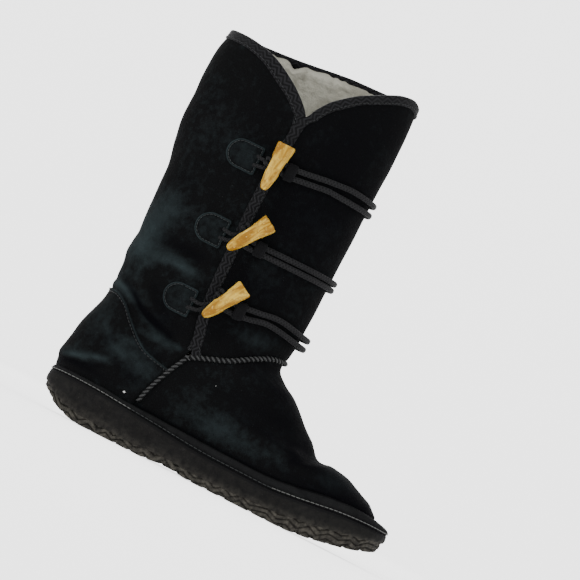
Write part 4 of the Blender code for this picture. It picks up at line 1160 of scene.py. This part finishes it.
# Each closure: its tab, and the wide end and the tip of its toggle in the side view
closures = [
    dict(back=41.6, edge=67.4, z=225.6, half=11, wide=(79.5, 244.4), tip=(78.2, 209.3), below=1),
    dict(back=45.6, edge=69.4, z=168.2, half=11.4, wide=(93.4, 189.2), tip=(75.4, 161.2), below=4),
    dict(back=47.6, edge=71.2, z=113.6, half=11, wide=(98.4, 140.2), tip=(80.7, 110.4), below=5),
]
innerTab = dict(back=96, edge=120, half=11)
tabShape = dict(around=168, corner=1.6, stitchAt=0.845, stitchPitch=2.6, stitchLong=2.35, stitchThick=0.3,
                levels=(1, 0.985, 0.965, 0.93, 0.9, 0.87, 0.845, 0.82, 0.79, 0.74, 0.66, 0.55, 0.42, 0.28,
                        0.14, 0.03),
                heights=(0.1, 0.75, 1.3, 1.75, 1.9, 1.75, 1.35, 1.15, 1.3, 1.5, 1.6, 1.65, 1.7, 1.7,
                         1.7, 1.7))


def tabOutline(back, edge, z, half):
    corner = tabShape["corner"]
    arc, bend = np.linspace(0, pi, 40), np.linspace(0, pi / 2, 6)
    farX, highZ = edge - corner, half - corner
    loop = np.concatenate((stack(back + half - half * np.sin(arc), z + half * np.cos(arc)),
                           stack(farX + corner * np.sin(bend), z - highZ - corner * np.cos(bend)),
                           stack(farX + corner * np.cos(bend), z + highZ + corner * np.sin(bend)),
                           ((back + half, z + half),)))
    reach = reachOf(loop)
    return between(np.linspace(0, reach[-1], tabShape["around"], endpoint=False), reach, loop)


def makeTab(name, node, back, edge, z, half, isOuter=True):
    rim = tabOutline(back, edge, z, half)
    middle = np.array((back + (edge - back) * 0.55, z))
    count, n = len(tabShape["levels"]), len(rim)
    levels = np.repeat(tabShape["levels"], n)
    x, z = (middle + (np.tile(rim, (count, 1)) - middle) * levels[:, None]).T
    heights = np.repeat(tabShape["heights"], n) + 0.15 * cloud(stack(x, z, 0), 5, 1.3)
    points = onSide(x, z, heights, isOuter)
    values = napAndShadeValues(points)
    # lighter along the raised rim, partly worn nap and partly painted highlight; painted shade in the stitch
    # groove and at the outer edge
    values["fadeAndHighlight"] = values["fadeAndHighlight"] * 0.7 + 0.8 * hill(levels - 0.935, 0.035) + 0.1
    values["shade"] = values["shade"] * 0.6 + 0.45 * hill(levels - 0.84, 0.03) + 0.25 * (levels > 0.97)
    piece(name, points, ringFaces(count, n, (1,), 0), suedeSkin, "suede", (node,), values)
    x, z = (middle + (np.concatenate((rim, rim[:1])) - middle) * tabShape["stitchAt"]).T
    line = onSide(x, z, 1.5, isOuter)
    outs = onSide(x, z, 2.5, isOuter) - line
    piece(name + "Stitches", *stitchRow(line, outs, tabShape), tabThread, "cord")


for number, closure in enumerate(closures, 1):
    makeTab(f"tab{number}", f"patch_{number}", *(closure[key] for key in ("back", "edge", "z", "half")))
print("tabs made")

# The toggle's radius and its bore's, from the wide end
toggleShape = dict(long=36, offset=11.6, slotLong=9, slotAt=16.5, slotDeep=2.6, slotTurn=0.34, bow=0.8,
                   columns=48, boreRows=16,
                   profile=((0, 6.3), (0.5, 6.65), (1.4, 6.85), (5, 6.5), (8.5, 6), (13, 5.85),
                            (18, 5.6), (24, 4.9), (29, 4.1), (32.5, 3.4), (34.6, 2.55), (35.6, 1.65),
                            (36, 0.6)),
                   bore=((0.1, 5.8), (0.7, 5.3), (1.6, 5), (4.5, 4.6), (8.5, 4.2)))


def toggleFrame(closure):
    share = toggleShape["slotAt"] / toggleShape["long"]
    wide, tip = np.array(closure["wide"]), np.array(closure["tip"])
    place = sidePlace(*(wide * (1 - share) + tip * share))
    out = outwardNormal(*place)
    axis = bareLeather(*sidePlace(*wide)) - bareLeather(*sidePlace(*tip))
    axis = unit(axis - out * np.dot(axis, out))
    return bareLeather(*place) + out * toggleShape["offset"], axis, out, np.cross(axis, out)


def makeToggle(number, closure):
    shape = toggleShape
    middle, axis, out, across = toggleFrame(closure)
    boreAt = np.linspace(shape["bore"][-1][0], shape["bore"][0][0], shape["boreRows"])
    at = np.concatenate((np.linspace(0, 2, 8), np.linspace(2, 33, 52)[1:], np.linspace(33, 36, 11)[1:]))
    radius = np.concatenate((readCurve(shape["bore"], boreAt), readCurve(shape["profile"], at)))[:, None]
    isSkin = np.repeat((0, 1), (len(boreAt), len(at)))[:, None]
    at = np.concatenate((boreAt, at))[:, None]
    turn = fullTurn(shape["columns"])
    c, s = np.cos(turn), np.sin(turn)
    lump = 0.22 * cloud(stack(c * 6, s * 6, at) + number * 40, 7)
    carved = 0.1 * cloud(stack(c * 20, s * 20, at * 0.3) + number * 17, 5)
    chip = 0.35 * hill(at, 1.5) * cloud(stack(c * 7, s * 7, 0) + number * 9, 3) * isSkin
    slots = [np.exp(-(away / shape["slotTurn"]) ** 6) for away in (turn - pi, np.mod(turn + pi, 2 * pi) - pi)]
    slot = np.maximum(*slots) * np.exp(-((at - shape["slotAt"]) / (shape["slotLong"] / 2)) ** 6) * isSkin
    size = (radius + (lump + carved) * isSkin - shape["slotDeep"] * slot)[..., None]
    bow = shape["bow"] * np.sin(pi * at / shape["long"])[..., None]
    start = middle + axis * shape["slotAt"]
    ring = across * c[:, None] + out * 0.95 * s[:, None]
    points = start - axis * (at + chip)[..., None] + ring * size + out * bow
    # painted shade for the bore and the slot
    hollow = np.maximum(slot * 0.9, 0.75 * (1 - isSkin) * (at > 1.5))
    placeAndHollowShade = stack(at, turn, hollow).reshape(-1, 3)
    streak = stack(c * radius * mm, s * radius * mm, at * 0.22 * mm + number).reshape(-1, 3)
    faces = ringFaces(len(at), shape["columns"])
    values = dict(placeAndHollowShade=placeAndHollowShade, streak=streak)
    piece(f"toggleBody{number}", points, faces, toggleHorn, "toggle", (f"toggle_{number}",), values)


# The high and the low strand of each long cord, (x, z) from behind the toggle to the front
strands = [
    (((83, 233), (86, 232), (121, 236.6), (136, 238.2), (152, 237.2)),
     ((83, 226.4), (86.3, 225.4), (106.6, 227.8), (121.5, 229.8), (152, 229.6))),
    (((86, 173.2), (91.5, 172.6), (125, 173.4), (140, 173.8), (152, 174)),
     ((86, 167.2), (91.8, 167.4), (125, 168.2), (140, 168.7), (152, 168.9))),
    (((91.2, 127.2), (98.5, 127.6), (115, 129.6), (130, 131.8), (152, 128.4)),
     ((91.2, 120.8), (98.8, 120.6), (108.3, 121.9), (125, 125.2), (152, 121.8))),
]
cordShape = dict(wide=2.05, deep=1.5, shortWide=1.35, shortDeep=1.1, innerEnd=121, slack=(0.8, 1.4, 3.6),
                 outerLift=3.35, innerLift=2.1, slotGap=2)


def strandPath(line, slack, count=130):
    # round the front to the inner tab, at the last point's height on the inner side
    lastZ = line[-1][1]
    first, end = sidePlace(*line[0])[0], sidePlace(cordShape["innerEnd"], lastZ)[0]
    angles = np.linspace(float(first), 2 * pi - float(end), count)
    z = np.full(count, lastZ)
    for _ in range(7):
        x = bareLeather(angles, rowAtHeight(z))[:, 0]
        z = np.where(angles < pi, readCurve(line, x), lastZ)
    t = rowAtHeight(z)
    bare, normal = bareLeather(angles, t), outwardNormal(angles, t)
    x = bare[:, 0]
    # towards the front it lies closer and follows the folds, and its slack stands off in the middle
    sunk = (cordShape["outerLift"] - cordShape["innerLift"]) * np.clip((x - 116) / 12, 0, 1)
    lift = np.where(angles < pi, cordShape["outerLift"] - sunk, cordShape["innerLift"])
    lift = smoothAlong(lift[:, None], np.arange(count, dtype=float), 3)[:, 0]
    lift = lift + relief(bare) * np.clip((x - 112) / 16, 0, 1) + slack * hill(angles - pi, 0.42)
    return bare + normal * lift[:, None], normal


def makeLongCord(number, lines, slack):
    (high, highOut), (low, lowOut) = (strandPath(line, slack) for line in lines)
    middle, half = (high[0] + low[0]) / 2, (high[0] - low[0]) / 2
    behind = unit(high[0] - high[1]) * np.linalg.norm(half)
    turns = np.linspace(0, pi, 16)[1:-1, None]
    bend = middle + half * np.cos(turns) + behind * np.sin(turns)
    path = np.concatenate((high[::-1], bend, low))
    outs = np.concatenate((highOut[::-1], np.repeat(highOut[:1], len(bend), 0), lowOut))
    reach = reachOf(path)
    even = np.linspace(0, reach[-1], int(reach[-1] / 0.8))
    path = smoothAlong(between(even, reach, path), even, 1.2)
    points, faces = tube(path, between(even, reach, outs), cordShape["wide"], cordShape["deep"], 14)
    weave = dict(weave=tubeWeave(path, 14))
    piece(f"longCord{number}", points, faces, cordPlait, "cord", (f"long_cord_{number}",), weave)


def makeShortCord(number, closure):
    # from the tab through the toggle's slot and back to the tab
    middle, axis, out, across = toggleFrame(closure)
    across = across if across[0] > 0 else -across
    gap, start = cordShape["slotGap"], closure["edge"] + 0.5
    ends = []
    for sign in (1, -1):
        z = closure["z"] + sign * 3
        entry = middle + axis * sign * gap
        ends.append([
            onSide(start - 4, z + sign * 0.5, 1.2), onSide(start - 1, z, 2.8),
            onSide(start + 2.4, z - sign * 0.4, 4.2),
            middle + axis * (sign * gap - closure["below"]) - across * 4.4 - out * 7.2,
            entry - across * 8 - out * 3.6, entry - across * 7.6 - out * 0.6,
            entry - across * 6, entry + across * 1.5])
    bend = [middle + across * (1.5 + gap * math.sin(a)) + axis * gap * math.cos(a)
            for a in (pi / 4, pi / 2, 3 * pi / 4)]
    path = evenPath(ends[0] + bend + ends[1][::-1], 0.6)
    outs = np.repeat(out[None], len(path), 0)
    points, faces = tube(path, outs, cordShape["shortWide"], cordShape["shortDeep"], 12)
    weave = dict(weave=tubeWeave(path, 12))
    piece(f"shortCord{number}", points, faces, cordPlait, "cord", (f"short_cord_{number}",), weave)


keeperShape = dict(long=8, around=60, rings=24, high=3.3, deep=2.8, rib=0.13, ribPitch=1.15)


def makeKeeper(number, lines):
    shape = keeperShape
    u = np.linspace(0, 1, shape["rings"])
    x = lines[0][1][0] + shape["long"] * u
    high, low = (readCurve(line, x) for line in lines)
    z, half = (high + low) / 2, (high - low) / 2
    place = sidePlace(x, z)
    bare, out = bareLeather(*place), outwardNormal(*place)
    up = unit(bareLeather(*sidePlace(x, z + 1)) - bare)
    ribs = shape["rib"] * np.sin(u * shape["long"] * 2 * pi / shape["ribPitch"])
    shut = 1 - 0.28 * abs(2 * u - 1) ** 8
    turns = fullTurn(shape["around"])
    c, s = np.cos(turns), np.sin(turns)
    tall = ((half + shape["high"]) * shut + ribs)[:, None] * np.sign(c) * abs(c) ** 0.55
    deep = (shape["deep"] * shut + ribs)[:, None] * np.sign(s) * abs(s) ** 0.65
    deep = deep + cordShape["outerLift"]
    points = bare[:, None] + up[:, None] * tall[..., None] + out[:, None] * deep[..., None]
    weave = dict(weave=stack(c, s, shape["long"] * u[:, None]).reshape(-1, 3))
    faces = ringFaces(shape["rings"], shape["around"])
    piece(f"keeperSleeve{number}", points, faces, keeperWrap, "cord", (f"keeper_{number}",), weave)


for number, (closure, lines) in enumerate(zip(closures, strands), 1):
    makeToggle(number, closure)
    makeShortCord(number, closure)
    makeLongCord(number, lines, cordShape["slack"][number - 1])
    makeKeeper(number, lines)
    z = (lines[0][-1][1] + lines[1][-1][1]) / 2
    makeTab(f"innerTab{number}", f"inner_patch_{number}", z=z, isOuter=False, **innerTab)
print("toggles and cords made")

# A few bits of lint that the photo shows on the nap: x, z, half length, height
lint = ((56, 36, 0.85, 2.3), (67.6, 158.2, 0.5, 0.7), (112, 69, 0.25, 0.7))


def makeLint():
    parts = []
    for x, z, size, off in lint:
        line = onSide(x + size * np.array((-1, 0, 1)), np.array((z, z + 0.2, z)), off)
        outs = onSide(x + size * np.array((-1, 0, 1)), z, off + 1) - onSide(x, z, off)
        parts.append(tube(line, outs, size * np.array([0.5, 1, 0.5]), 0.35, 8))
    piece("lintSpecks", *joined(parts), lintWhite, "fleece")


makeLint()
print("lint made")

shot = dict(aim=(72, 0, 156), distance=3000, height=30, roll=27, frame=420, sensor=36)
lamps = [
    dict(name="keySoftbox", at=(-1.7, -2, 2.2), size=1.2, power=62),
    dict(name="fillSoftbox", at=(2.2, -2.2, 1), size=1.8, power=16),
    dict(name="rearSoftbox", at=(-0.6, 2.2, 1.8), size=1.2, power=30),
]
lampAim = Vector((0.05, 0.0, 0.12))
roomLight = 1.9
# The floor in metres: how wide, where it starts and bends up, the bend's radius, how high it goes
stageShape = dict(halfWide=14, front=-9, bendAt=5, radius=2.5, high=9, glow=2.1)


def makeStage():
    shape = stageShape
    mesh = bpy.data.meshes.new("paleFloor")
    bend = [(shape["bendAt"] + shape["radius"] * math.sin(a), shape["radius"] - shape["radius"] * math.cos(a))
            for a in np.linspace(0.1, pi / 2, 14)]
    steps = [(shape["front"], 0), (shape["bendAt"], 0), *bend,
             (shape["bendAt"] + shape["radius"], shape["high"])]
    points = [(x, y, z) for y, z in steps for x in (-shape["halfWide"], shape["halfWide"])]
    mesh.from_pydata(points, [], [(2 * i, 2 * i + 1, 2 * i + 3, 2 * i + 2) for i in range(len(steps) - 1)])
    for face in mesh.polygons:
        face.use_smooth = True
    floor = shown("paleFloor", mesh)
    look = Look("paleFloor", Base_Color=(0.5, 0.5, 0.5, 1), Roughness=0.95, Specular_IOR_Level=0,
                Emission_Strength=shape["glow"])
    rise = mesh.attributes.new("rise", "FLOAT", "POINT")
    rise.data.foreach_set("value", [min(max((y - 3) / 4, 0), 1) for x, y, z in points])
    look.feed(Emission_Color=look.blend(look.value("rise"), (0.86, 0.86, 0.86), (1, 1, 1)))
    mesh.materials.append(look.material)


def makeLights():
    world = bpy.data.worlds.new("paleRoom")
    world.use_nodes = True
    room = world.node_tree.nodes["Background"].inputs
    room["Color"].default_value = (1, 1, 1, 1)
    room["Strength"].default_value = roomLight
    bpy.context.scene.world = world
    for lamp in lamps:
        light = bpy.data.lights.new(lamp["name"], "AREA")
        light.shape = "SQUARE"
        light.size = lamp["size"]
        light.energy = lamp["power"]
        made = shown(lamp["name"], light)
        made.location = lamp["at"]
        made.rotation_euler = (lampAim - made.location).to_track_quat("-Z", "Y").to_euler()
        made.visible_camera = False


def makeCamera():
    camera = bpy.data.cameras.new("photoCamera")
    aim = Vector(shot["aim"]) * mm
    place = Vector((aim.x, -shot["distance"] * mm, shot["height"] * mm))
    camera.sensor_width = shot["sensor"]
    camera.lens = shot["sensor"] * (aim - place).length / (shot["frame"] * mm)
    camera.clip_end = 50
    made = shown("photoCamera", camera)
    roll = Matrix.Rotation(math.radians(shot["roll"]), 4, "Z").to_quaternion()
    made.rotation_mode = "QUATERNION"
    made.rotation_quaternion = (aim - place).to_track_quat("-Z", "Y") @ roll
    made.location = place
    bpy.context.scene.camera = made


makeStage()
makeLights()
makeCamera()
print("stage, lights and camera made")
